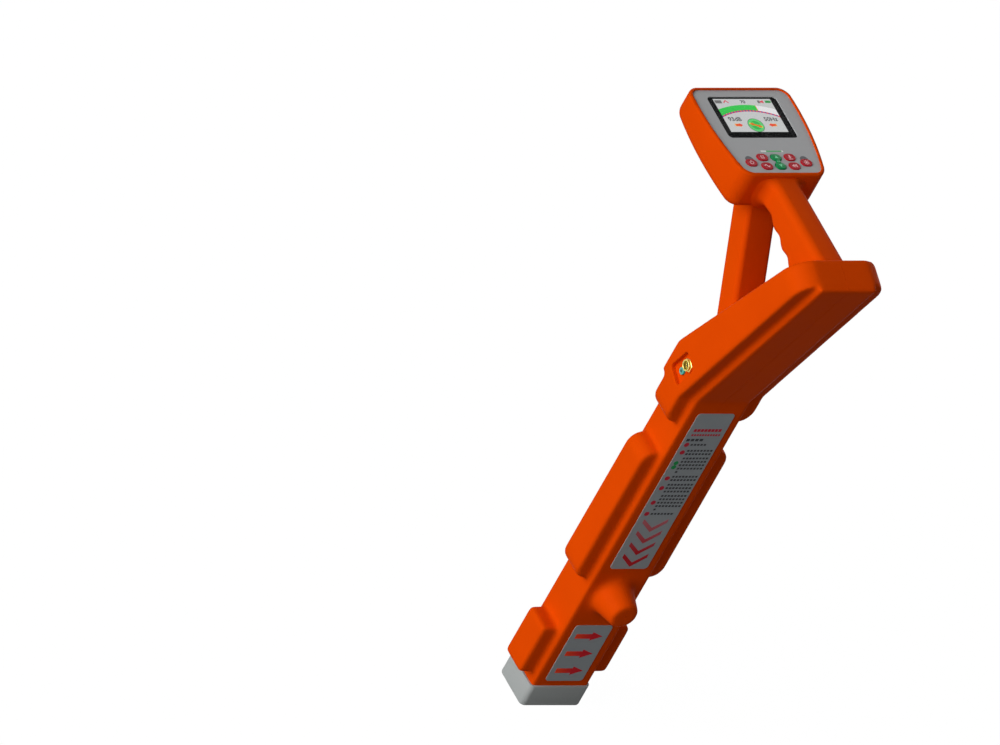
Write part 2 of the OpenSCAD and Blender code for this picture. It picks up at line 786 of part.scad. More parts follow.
// Bores and slots for the pieces that the shell holds
module shell_cuts() {
    for (s = shell_screw_at)
        translate([0, s[0], s[1]]) rotate([0, 90, 0]) {
            translate([0, 0, -screw_bite - fit]) cylinder(h = reach, r = screw_r + fit);
            translate([0, 0, s[2] - screw_head_h - head_sink])
                cylinder(h = reach, r = screw_head_r + 3 * fit);
        }
    for (p = [[0, low_rod_z], [upper_rod_y, upper_rod_z]])
        rod_along_x(p[1], p[0], 2 * inner_half, rod_r + fit);
    translate([0, upright_y, upright_z]) cylinder(h = upright_len, r = rod_r + fit);
    translate([0, back_y - wall, nose_z]) rotate([90, 0, 0])
        cylinder(h = back_y - nose_tip_y - 2 * wall, r = rod_r + fit);
    for (sx = [-1, 1], sz = [-1, 1])
        translate([sx * board_post_x, board_back_y, board_mid_z + sz * board_post_dz]) rotate([-90, 0, 0])
            cylinder(h = post_h, r = pin_screw_r + fit);
    on_battery() cube([2 * inner_half, lug_d + 2 * fit, lug_h + 2 * fit], center = true);
    for (sx = [-1, 1])
        translate([sx * foot_screw_x, 0, 0]) cylinder(h = sole_t + screw_bite + fit, r = screw_r + fit);
    at_pocket(0, pod_half - pocket_deep) linear_extrude(reach) rounded_rect(pocket_h, pocket_w, pocket_r);
    at_pocket(socket_up, 0) cylinder(h = reach, r = socket_tail_r + fit);
    at_pocket(-jack_down, 0) cylinder(h = reach, r = jack_tail_r + fit);
    back_opening() strut_form(-fit, 0);
    back_opening() grip_form(-fit, head_near_y);
}

// Slot for the ribbon through the strut's closed end and the head's floor
module ribbon_way() {
    translate([0, strut_y, strut_z]) rotate([-strut_lean, 0, 0])
        cube([ribbon_w + 2, ribbon_slot, 4 * neck_end], center = true);
}

// Both shells as one hollow moulding, before it is parted on the middle plane
module shell_solid() {
    difference() {
        union() {
            difference() {
                union() {
                    body_form(0);
                    on_nose() rotate_extrude() nose_profile();
                    translate([0, 0, spigot_z]) linear_extrude(boot_h - spigot_z + wall)
                        rounded_rect(shaft_w - 2 * spigot_in, shaft_d - 2 * spigot_in, edge_r - spigot_in);
                }
                body_form(wall);
                on_nose() translate([0, 0, -2 * wall])
                    cylinder(h = nose_len + wall, r1 = nose_base_r - wall, r2 = nose_tip_r - wall);
                translate([0, 0, spigot_z + spigot_floor])
                    linear_extrude(boot_h + 2 * wall - spigot_z - spigot_floor)
                        rounded_rect(shaft_w - 2 * spigot_in - 2 * spigot_wall,
                            shaft_d - 2 * spigot_in - 2 * spigot_wall, edge_r / 2);
            }
            shell_inside();
            at_pocket(0, pod_half - pocket_deep - wall)
                linear_extrude(pocket_deep + wall / 2)
                    rounded_rect(pocket_h + 2 * wall, pocket_w + 2 * wall, pocket_r + wall);
        }
        shell_cuts();
    }
}

// Parts from here on, one module for each

module left_shell() {
    color(orange) intersection() {
        half_space(-1);
        shell_solid();
    }
}

module right_shell() {
    color(orange) intersection() {
        half_space(1);
        shell_solid();
    }
}

module grip() {
    color(orange) difference() {
        rooted_bar() {
            grip_form(0, head_near_y + wall);
            grip_form(-root_lap, head_near_y);
        }
        grip_form(wall, head_near_y - neck_end);
        for (sx = [-1, 1])
            translate([sx * neck_x, head_near_y - screw_bite + wall, grip_neck_z]) rotate([-90, 0, 0])
                cylinder(h = screw_bite, r = screw_r + fit);
        head_form(0, 0, reach);
    }
}

module strut() {
    color(orange) difference() {
        rooted_bar() {
            strut_form(0, neck_end);
            strut_form(-root_lap, 0);
        }
        strut_form(wall, -neck_end);
        for (sx = [-1, 1])
            translate([sx * neck_x, strut_y, neck_boss_z - 2 * screw_bite])
                cylinder(h = 2 * screw_bite, r = screw_r + fit);
        ribbon_way();
        head_form(0, 0, reach);
    }
}

// Screw with its head's underside at the origin and its shank down -Z
module screw(shank, head, head_h, len) {
    cylinder(h = head_h, r = head);
    translate([0, 0, -len]) cylinder(h = len + head_h / 2, r = shank);
}

module foot_boot() {
    color(pale_grey) difference() {
        linear_extrude(boot_h)
            rounded_rect(shaft_w + 2 * boot_proud, shaft_d + 2 * boot_proud, edge_r + boot_proud);
        translate([0, 0, sole_t]) linear_extrude(boot_h)
            rounded_rect(shaft_w + 2 * boot_proud - 2 * boot_wall,
                shaft_d + 2 * boot_proud - 2 * boot_wall, edge_r + boot_proud - boot_wall);
        for (sx = [-1, 1]) translate([sx * foot_screw_x, 0, 0]) {
            translate([0, 0, -1]) cylinder(h = sole_t + 2, r = screw_r + fit);
            translate([0, 0, -1]) cylinder(h = screw_head_h + 1, r = screw_head_r + 3 * fit);
        }
    }
}

module foot_screws() {
    color(screw_steel) for (sx = [-1, 1])
        translate([sx * foot_screw_x, 0, screw_head_h]) rotate([180, 0, 0])
            screw(screw_r, screw_head_r, screw_head_h - 0.4, sole_t - screw_head_h + screw_bite);
}

module shell_screws() {
    color(screw_steel) for (s = shell_screw_at)
        translate([s[2] - screw_head_h - head_sink, s[0], s[1]]) rotate([0, 90, 0])
            screw(screw_r, screw_head_r, screw_head_h, s[2] - screw_head_h - head_sink + screw_bite);
}

module head_tray() {
    color(orange) difference() {
        union() {
            difference() {
                head_form(0, 0, rim_z);
                head_form(-rim - ledge, wall, reach);
                translate([0, 0, ledge_z]) linear_extrude(reach) polygon(head_outline(-rim));
            }
            intersection() {
                head_form(0, 0, reach);
                union() {
                    for (p = plate_screw_at) translate([p[0], p[1], 0])
                        cylinder(h = plate_under_z - plate_boss_h, r = plate_post_r);
                    for (sx = [-1, 1]) {
                        translate([sx * pad_post_x, head_near_y + pad_post_set, 0])
                            cylinder(h = pad_z, r = pad_post_r);
                        translate([sx * neck_x, strut_y, 0])
                            cylinder(h = neck_boss_z, r = screw_head_r + 1);
                        translate([sx * pad_post_x / 2 - 4, head_far_y - rim - ledge - 4, 0])
                            cube([8, ledge + 5, pad_z]);
                    }
                }
            }
        }
        for (p = plate_screw_at) translate([p[0], p[1], 0]) {
            cylinder(h = reach, r = pin_screw_r + fit);
            cylinder(h = plate_seat_z, r = pin_head_r + 3 * fit);
        }
        for (sx = [-1, 1]) {
            translate([sx * pad_post_x, head_near_y + pad_post_set, pad_z - 8])
                cylinder(h = 9, r = pin_screw_r + fit);
            translate([sx * neck_x, strut_y, 0]) cylinder(h = reach, r = screw_r + fit);
            translate([sx * neck_x, head_near_y - 1, grip_neck_z]) rotate([-90, 0, 0])
                cylinder(h = rim + ledge + 2, r = screw_r + fit);
        }
        ribbon_way();
    }
}

module neck_screws() {
    color(screw_steel) for (sx = [-1, 1]) {
        translate([sx * neck_x, strut_y, neck_boss_z])
            screw(screw_r, screw_head_r, screw_head_h, 2 * screw_bite - 1);
        translate([sx * neck_x, head_near_y + rim + ledge, grip_neck_z]) rotate([-90, 0, 0])
            screw(screw_r, screw_head_r, screw_head_h, rim + ledge + screw_bite - wall - 1);
    }
}

// Oval with round ends
module oval(w, d, grow) {
    for (sx = [-1, 1]) translate([sx * (w - d) / 2, 0]) circle(d / 2 + grow);
    square([w - d, d + 2 * grow], center = true);
}

// Outline of the rocker: two oval ends joined by a waist
module rocker_outline(grow) {
    for (sy = [-1, 1]) translate([0, sy * rocker_span / 2]) oval(rocker_w, rocker_d, grow);
    square([rocker_waist + 2 * grow, rocker_span], center = true);
}

module face_plate() {
    color(plate_grey) difference() {
        union() {
            translate([0, 0, plate_under_z]) linear_extrude(plate_t) polygon(head_outline(-rim - fit));
            for (p = plate_screw_at) translate([p[0], p[1], plate_under_z - plate_boss_h])
                cylinder(h = plate_boss_h + plate_t / 2, r = plate_boss_r);
        }
        translate([0, glass_y + glass_h / 2, plate_under_z - 1]) linear_extrude(plate_t + 2)
            rounded_rect(glass_w + 2 * fit, glass_h + 2 * fit, glass_r + fit);
        translate([0, glass_y + glass_h / 2, plate_under_z - 1]) linear_extrude(glass_z - plate_under_z + 1)
            rounded_rect(glass_w + 2 * mask_lap + 2 * fit, glass_h + 2 * mask_lap + 2 * fit, glass_r + fit);
        for (p = key_places) translate([p[0], p[1], plate_under_z - 1])
            linear_extrude(plate_t + 2) oval(key_w, key_d, key_gap);
        translate([0, rocker_y, plate_under_z - 1]) linear_extrude(plate_t + 2) rocker_outline(rocker_gap);
        for (p = plate_screw_at) translate([p[0], p[1], plate_under_z - plate_boss_h - 1])
            cylinder(h = plate_boss_h + 1 + plate_t / 2, r = pin_screw_r + fit);
    }
}

module head_gasket() {
    color("black") translate([0, 0, ledge_z]) linear_extrude(gasket_t) difference() {
        polygon(head_outline(-rim - 2 * fit));
        polygon(head_outline(-rim - ledge));
    }
}

module plate_screws() {
    color(screw_steel) for (p = plate_screw_at) translate([p[0], p[1], plate_seat_z]) rotate([180, 0, 0])
        screw(pin_screw_r, pin_head_r, pin_head_h, plate_screw_len);
}

module display_window() {
    color([0.75, 0.82, 0.85, 0.4]) translate([0, glass_y + glass_h / 2, glass_z])
        linear_extrude(glass_t) rounded_rect(glass_w, glass_h, glass_r);
}

module display_mask() {
    color("black") translate([0, glass_y + glass_h / 2, mask_z]) linear_extrude(mask_t) difference() {
        rounded_rect(glass_w + 2 * mask_lap, glass_h + 2 * mask_lap, glass_r);
        translate([0, picture_y - glass_y - glass_h / 2]) square([picture_w, picture_h], center = true);
    }
}

module lcd_module() {
    color("gainsboro") translate([-lcd_w / 2, glass_y + lcd_set, lcd_z]) cube([lcd_w, lcd_h, lcd_t]);
}

module keypad_board() {
    near_y = head_near_y + pad_near;
    far_y = head_far_y - rim - ledge - pad_far_gap;
    color(board_green) difference() {
        translate([-pad_half, near_y, pad_z]) cube([2 * pad_half, far_y - near_y, board_t]);
        for (sx = [-1, 1]) translate([sx * pad_post_x, head_near_y + pad_post_set, pad_z - 1])
            cylinder(h = board_t + 2, r = pin_screw_r + fit);
    }
}

module key_switches() {
    color("dimgray") for (p = concat(key_places,
            [for (sy = [-1, 1]) [0, rocker_y + sy * rocker_span / 2]])) {
        translate([p[0] - switch_w / 2, p[1] - switch_w / 2, lcd_z])
            cube([switch_w, switch_w, plunger_z - plunger_h - lcd_z]);
        translate([p[0], p[1], lcd_z]) cylinder(h = plunger_z - lcd_z, r = plunger_r);
    }
}

module rocker_saddle() {
    color("dimgray") difference() {
        for (sx = [-1, 1]) translate([sx * (ear_in + ear_t / 2), rocker_y, 0])
            translate([-ear_t / 2, -ear_half, lcd_z])
                cube([ear_t, 2 * ear_half, ear_top_z - lcd_z]);
        rod_along_x(pivot_z, rocker_y, shaft_w, trunnion_r + trunnion_gap);
    }
}

module sounder() {
    color("black") translate([0, picture_y - 10, pad_z - 6]) cylinder(h = 6, r = 12);
}

// Oval key with a retaining flange and a stem over its switch
module oval_key(k) {
    color(key_red) translate([key_places[k][0], key_places[k][1], 0]) {
        translate([0, 0, flange_z]) linear_extrude(key_top_z - flange_z) oval(key_w, key_d, 0);
        translate([0, 0, flange_z]) linear_extrude(flange_t) oval(key_w, key_d, key_flange);
        translate([0, 0, stem_z]) cylinder(h = flange_t, r = stem_r);
    }
}

module power_key() { oval_key(0); }
module mode_key() { oval_key(1); }
module frequency_key() { oval_key(2); }
module depth_key() { oval_key(3); }
module sound_key() { oval_key(4); }
module light_key() { oval_key(5); }

module gain_rocker() {
    color(key_green) {
        translate([0, rocker_y, stem_z]) linear_extrude(key_top_z - stem_z) rocker_outline(0);
        rod_along_x(pivot_z, rocker_y, 2 * (ear_in + ear_t), trunnion_r);
    }
}

module label(z, h) {
    color(pale_grey) translate([0, front_y, z + h / 2]) rotate([90, 0, 0])
        linear_extrude(label_t) rounded_rect(label_w, h, label_r);
}

module instruction_label() { label(info_label_z, info_label_h); }
module arrow_label() { label(arrow_label_z, arrow_label_h); }

module accessory_socket() {
    color("gold") at_pocket(socket_up, pod_half - pocket_deep) difference() {
        union() {
            cylinder(h = hex_t, r = socket_hex_r, $fn = 6);
            cylinder(h = socket_stand, r = socket_r);
            translate([0, 0, -tail_len]) cylinder(h = tail_len + 1, r = socket_tail_r);
        }
        translate([0, 0, socket_stand - socket_deep]) cylinder(h = reach, r = socket_bore_r);
        translate([0, 0, socket_stand - socket_deep - insert_t]) cylinder(h = reach, r = insert_r + fit);
    }
}

module socket_insert() {
    color("ivory") at_pocket(socket_up, pod_half - pocket_deep)
        translate([0, 0, socket_stand - socket_deep - insert_t]) difference() {
            cylinder(h = insert_t, r = insert_r);
            for (k = [0:3]) rotate([0, 0, 45 + 90 * k]) translate([insert_r / 2, 0, insert_t / 3])
                cylinder(h = insert_t, r = contact_r);
        }
}

module socket_nut() {
    color("gold") at_pocket(socket_up, pod_half - pocket_deep - wall - nut_t) difference() {
        cylinder(h = nut_t, r = socket_hex_r, $fn = 6);
        translate([0, 0, -1]) cylinder(h = nut_t + 2, r = socket_tail_r + fit);
    }
}

module headphone_jack() {
    color("mediumaquamarine") at_pocket(-jack_down, pod_half - pocket_deep) difference() {
        union() {
            cylinder(h = jack_stand, r = jack_r);
            translate([0, 0, -tail_len]) cylinder(h = tail_len + 1, r = jack_tail_r);
        }
        translate([0, 0, jack_stand - jack_bore_len]) cylinder(h = reach, r = jack_bore_r);
    }
}

module main_board() {
    chip_h = 3;
    color(board_green) difference() {
        union() {
            translate([-board_w / 2, board_back_y - board_t, board_z]) cube([board_w, board_t, board_h]);
            for (p = [[-14, 0.15, 18], [10, 0.3, 12], [-8, 0.52, 24], [12, 0.75, 14], [-14, 0.85, 10]])
                translate([p[0], board_back_y - board_t / 2 - chip_h / 2, board_z + p[1] * board_h])
                    cube([p[2], chip_h + board_t, p[2]], center = true);
        }
        for (sx = [-1, 1], sz = [-1, 1])
            translate([sx * board_post_x, board_back_y - board_t - 1, board_mid_z + sz * board_post_dz])
                rotate([-90, 0, 0]) cylinder(h = board_t + 2, r = pin_screw_r + fit);
    }
}

module board_screws() {
    color(screw_steel) {
        for (sx = [-1, 1], sz = [-1, 1])
            translate([sx * board_post_x, board_back_y - board_t, board_mid_z + sz * board_post_dz])
                rotate([90, 0, 0]) screw(pin_screw_r, pin_head_r, pin_head_h, board_t + post_h - 0.5);
        for (sx = [-1, 1]) translate([sx * pad_post_x, head_near_y + pad_post_set, lcd_z])
            screw(pin_screw_r, pin_head_r, pin_head_h, board_t + 7);
    }
}

module battery_cradle() {
    color("dimgray") on_battery() difference() {
        union() {
            cube([cradle_w, cradle_d, cradle_h], center = true);
            cube([2 * inner_half, lug_d, lug_h], center = true);
        }
        for (k = [0:cell_count - 1]) translate([(k - (cell_count - 1) / 2) * cell_pitch, 0, 0])
            cylinder(h = cell_len + 2 * fit, r = cell_r + fit, center = true);
        translate([0, -cradle_d / 2 - cell_r / 3, 0])
            cube([cradle_w - 2, cradle_d, cell_len + 2 * fit], center = true);
    }
}

module battery_cells() {
    color("steelblue") on_battery() for (k = [0:cell_count - 1])
        translate([(k - (cell_count - 1) / 2) * cell_pitch, 0, 0])
            cylinder(h = cell_len, r = cell_r, center = true);
}

// Bobbin with its winding, along Z and centred, bored for the rod
module coil() {
    color(copper) difference() {
        union() {
            cylinder(h = bobbin_len, r = coil_r, center = true);
            for (sz = [-1, 1]) translate([0, 0, sz * (bobbin_len - 2) / 2])
                cylinder(h = 2, r = coil_r + bobbin_lip, center = true);
        }
        cylinder(h = bobbin_len + 2, r = rod_r + fit, center = true);
    }
}

module lower_rod() { color(ferrite) rod_along_x(low_rod_z, 0, 2 * (inner_half - fit), rod_r); }
module lower_coil() { translate([0, 0, low_rod_z]) rotate([0, 90, 0]) coil(); }
module upper_rod() { color(ferrite) rod_along_x(upper_rod_z, upper_rod_y, 2 * (inner_half - fit), rod_r); }
module upper_coil() { translate([0, upper_rod_y, upper_rod_z]) rotate([0, 90, 0]) coil(); }

module upright_rod() {
    color(ferrite) translate([0, upright_y, upright_z + fit])
        cylinder(h = upright_len - 2 * fit, r = rod_r);
}

module upright_coil() { translate([0, upright_y, upright_z + upright_len / 2]) coil(); }

module nose_rod() {
    color(ferrite) translate([0, back_y - wall - fit, nose_z]) rotate([90, 0, 0])
        cylinder(h = back_y - nose_tip_y - 2 * wall - 2 * fit, r = rod_r);
}

module nose_coil() {
    translate([0, (back_y + nose_tip_y) / 2, nose_z]) rotate([90, 0, 0]) coil();
}

// Ribbon from the main board up through the strut to the keypad board
module display_ribbon() {
    run = tan(strut_lean);
    top_y = strut_y + (pad_z - strut_z) * run;
    low_z = back_bend_z + ribbon_low;
    low_y = strut_y - (strut_z - low_z) * run;
    color("lightgray") across(ribbon_w) intersection() {
        polygon(strip([
            [top_y + ribbon_t * run, pad_z + ribbon_t],
            [low_y, low_z],
            [board_back_y - board_t - ribbon_t, board_z + board_h]
        ], ribbon_t));
        translate([-reach / 2, 0]) square([reach, pad_z]);
    }
}

left_shell();
right_shell();
grip();
strut();
foot_boot();
head_tray();
face_plate();
head_gasket();
display_window();
display_mask();
lcd_module();
keypad_board();
key_switches();
rocker_saddle();
sounder();
power_key();
mode_key();
frequency_key();
depth_key();
sound_key();
light_key();
gain_rocker();
instruction_label();
arrow_label();
accessory_socket();
socket_insert();
socket_nut();
headphone_jack();
main_board();
battery_cradle();
battery_cells();
lower_rod();
lower_coil();
upper_rod();
upper_coil();
upright_rod();
upright_coil();
nose_rod();
nose_coil();
display_ribbon();
shell_screws();
foot_screws();
neck_screws();
plate_screws();
board_screws();
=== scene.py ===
# Cable locator receiver: its looks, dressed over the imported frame.
import math

import bpy
from mathutils import Matrix, Vector


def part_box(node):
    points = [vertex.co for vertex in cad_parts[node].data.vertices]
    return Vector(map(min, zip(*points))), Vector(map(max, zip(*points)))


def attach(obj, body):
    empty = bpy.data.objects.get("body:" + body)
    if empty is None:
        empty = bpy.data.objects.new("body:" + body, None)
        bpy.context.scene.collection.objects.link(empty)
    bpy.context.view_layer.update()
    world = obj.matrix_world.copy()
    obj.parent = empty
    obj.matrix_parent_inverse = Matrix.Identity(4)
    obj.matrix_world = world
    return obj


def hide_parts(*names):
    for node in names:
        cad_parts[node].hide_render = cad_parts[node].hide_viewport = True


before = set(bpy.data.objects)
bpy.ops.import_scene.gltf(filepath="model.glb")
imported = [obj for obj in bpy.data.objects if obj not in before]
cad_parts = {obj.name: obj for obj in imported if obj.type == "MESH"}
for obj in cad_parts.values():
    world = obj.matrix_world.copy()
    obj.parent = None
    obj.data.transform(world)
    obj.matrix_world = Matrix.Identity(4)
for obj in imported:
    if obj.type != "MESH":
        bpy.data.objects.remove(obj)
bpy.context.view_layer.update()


# Studio: a parallel camera stands on the wand's left front, above it.
# The floor is pale paper that keeps a soft shadow. A broad lamp lights the left side,
# and weaker ones fill the front and the far side.
class Wire:
    """A socket in a node tree. Sums on wires add Math nodes, and node() adds any other node."""

    def __init__(self, socket):
        self.socket = socket

    def node(self, kind, settings, inputs, out=0):
        """A new node with its settings, then the values or wires of its sockets."""
        tree = self.socket.id_data
        made = tree.nodes.new("ShaderNode" + kind)
        for name, value in settings.items():
            setattr(made, name, value)
        for name, value in inputs.items():
            if isinstance(value, Wire):
                tree.links.new(value.socket, made.inputs[name])
            else:
                made.inputs[name].default_value = value
        return Wire(made.outputs[out])

    def sum(self, operation, first, second):
        return self.node("Math", {"operation": operation}, {0: first, 1: second})

    def __add__(self, other):
        return self.sum("ADD", self, other)

    def __radd__(self, other):
        return self.sum("ADD", other, self)

    def __sub__(self, other):
        return self.sum("SUBTRACT", self, other)

    def __rsub__(self, other):
        return self.sum("SUBTRACT", other, self)

    def __mul__(self, other):
        return self.sum("MULTIPLY", self, other)

    def __rmul__(self, other):
        return self.sum("MULTIPLY", other, self)

    def __gt__(self, other):
        return self.sum("GREATER_THAN", self, other)

    def __lt__(self, other):
        return self.sum("LESS_THAN", self, other)


def srgb(red, green, blue):
    """A screen colour from 0 to 255 as the linear colour that sockets take."""
    parts = [part / 255 for part in (red, green, blue)]
    return (*[p / 12.92 if p < 0.04 else ((p + 0.055) / 1.055) ** 2.4 for p in parts], 1)


def seen_white(tree):
    """A wire that is 1 for rays that show the background, and 0 for those that carry light."""
    path = tree.nodes.new("ShaderNodeLightPath").outputs
    camera_ray, glossy_ray, through_ray = (
        Wire(path[f"Is {kind} Ray"]) for kind in ("Camera", "Glossy", "Transmission"))
    seen = camera_ray.sum("MAXIMUM", camera_ray, glossy_ray)
    return seen.sum("MAXIMUM", seen, through_ray)


def add(kind, name, **sizes):
    """A new primitive, alone in the selection, with its place in its mesh."""
    bpy.ops.object.select_all(action="DESELECT")
    getattr(bpy.ops.mesh, f"primitive_{kind}_add")(**sizes)
    piece = bpy.context.object
    piece.name = piece.data.name = name
    bpy.ops.object.transform_apply()
    return piece


scene = bpy.context.scene
scene.view_settings.view_transform = "Standard"

VIEW_RIGHT = Vector((2, -1, 1)).normalized()
VIEW_UP = Vector((0, 1, 1)).normalized()
VIEW_BACK = VIEW_RIGHT.cross(VIEW_UP)
VIEW_WIDTH = 1.045
VIEW_DISTANCE = 3
VIEW_LEFT_OF_FOOT = 0.0512
VIEW_OVER_FOOT = 0.3471
foot_front = Vector((0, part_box("arrow_label")[1].y, 0))
view_middle = foot_front - VIEW_LEFT_OF_FOOT * VIEW_RIGHT + VIEW_OVER_FOOT * VIEW_UP
bpy.ops.object.camera_add(
    location=view_middle + VIEW_DISTANCE * VIEW_BACK,
    rotation=Matrix((VIEW_RIGHT, VIEW_UP, VIEW_BACK)).transposed().to_euler(),
)
camera = bpy.context.object
camera.data.type = "ORTHO"
camera.data.ortho_scale = VIEW_WIDTH
scene.camera = camera

# Each lamp is where it shines from, and its strength
SIDE_LAMP = ((-0.93, -0.02, 0.36), 3.02)
FRONT_LAMP = ((-0.1, -1.0, 0.28), 0.27)
FAR_LAMP = ((1.0, 0.8, 0.1), 1.2)
LAMP_SPREAD = math.radians(50)
for shines_from, strength in (SIDE_LAMP, FRONT_LAMP, FAR_LAMP):
    bpy.ops.object.light_add(
        type="SUN", rotation=Vector(shines_from).to_track_quat("Z", "Y").to_euler())
    lamp = bpy.context.object
    lamp.data.energy = strength
    lamp.data.angle = LAMP_SPREAD

AMBIENT = 0.08
world = scene.world or bpy.data.worlds.new("studio")
scene.world = world
world.use_nodes = True
backdrop = world.node_tree.nodes["Background"]
backdrop.inputs["Color"].default_value = (1, 1, 1, 1)
shown = seen_white(world.node_tree)
world.node_tree.links.new(
    (AMBIENT + (1 - AMBIENT) * shown).socket, backdrop.inputs["Strength"])

FLOOR_SIZE = 8
FLOOR_GLOW = 1.165
FLOOR_SHARE = 0.85
FLOOR_GREY = srgb(110, 110, 110)
floor = add("plane", "floor", size=FLOOR_SIZE)
paper = bpy.data.materials.new("studio_paper")
paper.use_nodes = True
paper.node_tree.nodes.remove(paper.node_tree.nodes["Principled BSDF"])
shown = seen_white(paper.node_tree)
lit = shown.node("BsdfDiffuse", {}, {"Color": FLOOR_GREY})
glow = shown.node("Emission", {}, {"Strength": FLOOR_GLOW})
mixed = shown.node("MixShader", {}, {0: FLOOR_SHARE * shown, 1: lit, 2: glow})
paper.node_tree.links.new(
    mixed.socket, paper.node_tree.nodes["Material Output"].inputs["Surface"])
floor.data.materials.append(paper)


# Casing: two orange halves, moulded in tough plastic, that meet on the wand's middle plane.
# A straight shaft carries two pairs of side pods and a round nose, and its top leans forward
# into a wide block. The edges are round, and screws from the right side hold the halves.
def alone(*pieces):
    """Selects only these pieces, with the first one active."""
    bpy.ops.object.select_all(action="DESELECT")
    for piece in pieces:
        piece.select_set(True)
    bpy.context.view_layer.objects.active = pieces[0]


def pick(piece, kind, test):
    """Edit mode, with the edges or faces selected whose middle and way pass the test."""
    alone(piece)
    bpy.ops.object.mode_set(mode="EDIT")
    bpy.ops.mesh.select_mode(type=kind)
    bpy.ops.mesh.select_all(action="DESELECT")
    bpy.ops.object.mode_set(mode="OBJECT")
    mesh = piece.data
    if kind == "FACE":
        for face in mesh.polygons:
            face.select = bool(test(face.center, face.normal))
    else:
        for edge in mesh.edges:
            start, end = (mesh.vertices[index].co for index in edge.vertices)
            edge.select = bool(test((start + end) / 2, (end - start).normalized()))
    bpy.ops.object.mode_set(mode="EDIT")


def everywhere(middle, way):
    """The test that every edge and face passes."""
    return True


def face_outwards(piece):
    """Turns every face of a closed piece outwards."""
    pick(piece, "FACE", everywhere)
    bpy.ops.mesh.normals_make_consistent(inside=False)
    bpy.ops.object.mode_set(mode="OBJECT")


def round_edges(piece, test, radius, steps):
    """Rounds the edges that pass the test."""
    pick(piece, "EDGE", test)
    bpy.ops.mesh.bevel(offset=radius, segments=steps, profile=0.5, clamp_overlap=True)
    bpy.ops.object.mode_set(mode="OBJECT")


def cuboid(name, size, middle=(0, 0, 0)):
    """A plain block of that size about its middle."""
    return add("cube", name, size=1, location=middle, scale=size)


def slab(name, corners, rise):
    """A flat ring of corners, filled and drawn out by rise to a closed solid."""
    piece = add("circle", name, vertices=len(corners), fill_type="NGON")
    for vertex, corner in zip(piece.data.vertices, corners):
        vertex.co = corner
    pick(piece, "FACE", everywhere)
    bpy.ops.mesh.extrude_region_move(TRANSFORM_OT_translate={"value": rise})
    bpy.ops.object.mode_set(mode="OBJECT")
    face_outwards(piece)
    return piece


ALIGNED = 0.9


def tube(name, sides, rings, place):
    """A closed bar whose skin is placed by the share along it and the share round it."""
    piece = add("cylinder", name, vertices=sides, depth=1, radius=1)
    pick(piece, "EDGE", lambda middle, way: abs(way.z) > ALIGNED)
    if rings > 2:
        bpy.ops.mesh.subdivide(number_cuts=rings - 2)
    bpy.ops.object.mode_set(mode="OBJECT")
    for vertex in piece.data.vertices:
        x, y, z = vertex.co
        vertex.co = place(z + 0.5, math.atan2(y, x) / math.tau % 1)
    face_outwards(piece)
    return piece


def row_at(rows, share):
    """The row that lies at a share from 0 to 1 along a list."""
    return rows[round(share * (len(rows) - 1))]


def turned(name, start, way, profile, sides):
    """A piece turned on a lathe: (distance along way, radius) rings about an axis from start."""
    turn = way.to_track_quat("Z", "Y")

    def place(along, round_share):
        out, radius = row_at(profile, along)
        angle = math.tau * round_share
        return start + turn @ Vector((radius * math.cos(angle), radius * math.sin(angle), out))

    return tube(name, sides, len(profile), place)


def spaced(start, end, steps):
    """Even values from start to end."""
    return [start + (end - start) * step / steps for step in range(steps + 1)]


def quarter_round(radius, steps):
    """A quarter circle as pairs that go from (radius, 0) to (0, radius)."""
    return [
        (radius * (1 - math.sin(turn)), radius * (1 - math.cos(turn)))
        for turn in spaced(0, math.pi / 2, steps)
    ]


def round_rect(share, half_w, half_h, radius, steps=9):
    """A point on a rounded rectangle's edge, and the way that it faces."""
    turn, step = divmod(round(share * 4 * steps) % (4 * steps), steps)
    angle = math.pi / 2 * (turn + step / (steps - 1))
    way = Vector((math.cos(angle), math.sin(angle)))
    corner = Vector((
        half_w - radius if turn in (0, 3) else radius - half_w,
        half_h - radius if turn < 2 else radius - half_h,
    ))
    return corner + radius * way, way


def join(pieces):
    """Several pieces as one object, named as the first."""
    alone(*pieces)
    if len(pieces) > 1:
        bpy.ops.object.join()
    return pieces[0]


def modify(piece, kind, **settings):
    """Adds one modifier, sets it and applies it."""
    alone(piece)
    modifier = piece.modifiers.new(kind.lower(), kind)
    for name, value in settings.items():
        setattr(modifier, name, value)
    bpy.ops.object.modifier_apply(modifier=modifier.name)


def carve(piece, tool, operation="DIFFERENCE"):
    """Cuts the piece with the tool, and throws the tool away."""
    modify(piece, "BOOLEAN", object=tool, operation=operation, solver="MANIFOLD")
    bpy.data.objects.remove(tool)


def new_finish(name, settings):
    """A new material, its shader with the settings that don't vary, and Object coordinates."""
    material = bpy.data.materials.new(name)
    material.use_nodes = True
    nodes = material.node_tree.nodes
    shader = nodes["Principled BSDF"]
    for socket, value in settings.items():
        shader.inputs[socket].default_value = value
    return material, shader, Wire(nodes.new("ShaderNodeTexCoord").outputs["Object"])


def feed(shader, socket, wire):
    """Links a wire to a socket of the shader."""
    shader.id_data.links.new(wire.socket, shader.inputs[socket])


def blend(share, first, second):
    """The mix of two colours, by a wire from 0 to 1."""
    return share.node("Mix", {"data_type": "RGBA"}, {0: share, 6: first, 7: second}, out=2)


def noise(place, size, detail=2.0):
    """A wire of cloudy noise whose features are about that size in metres."""
    return place.node("TexNoise", {}, {"Vector": place, "Scale": 1 / size, "Detail": detail})


def emboss(shader, height, strength, distance):
    """Feeds a relief to the shader: a wire of heights from 0 to 1, and the depth they span."""
    relief = {"Strength": strength, "Distance": distance, "Height": height}
    feed(shader, "Normal", height.node("Bump", {}, relief))


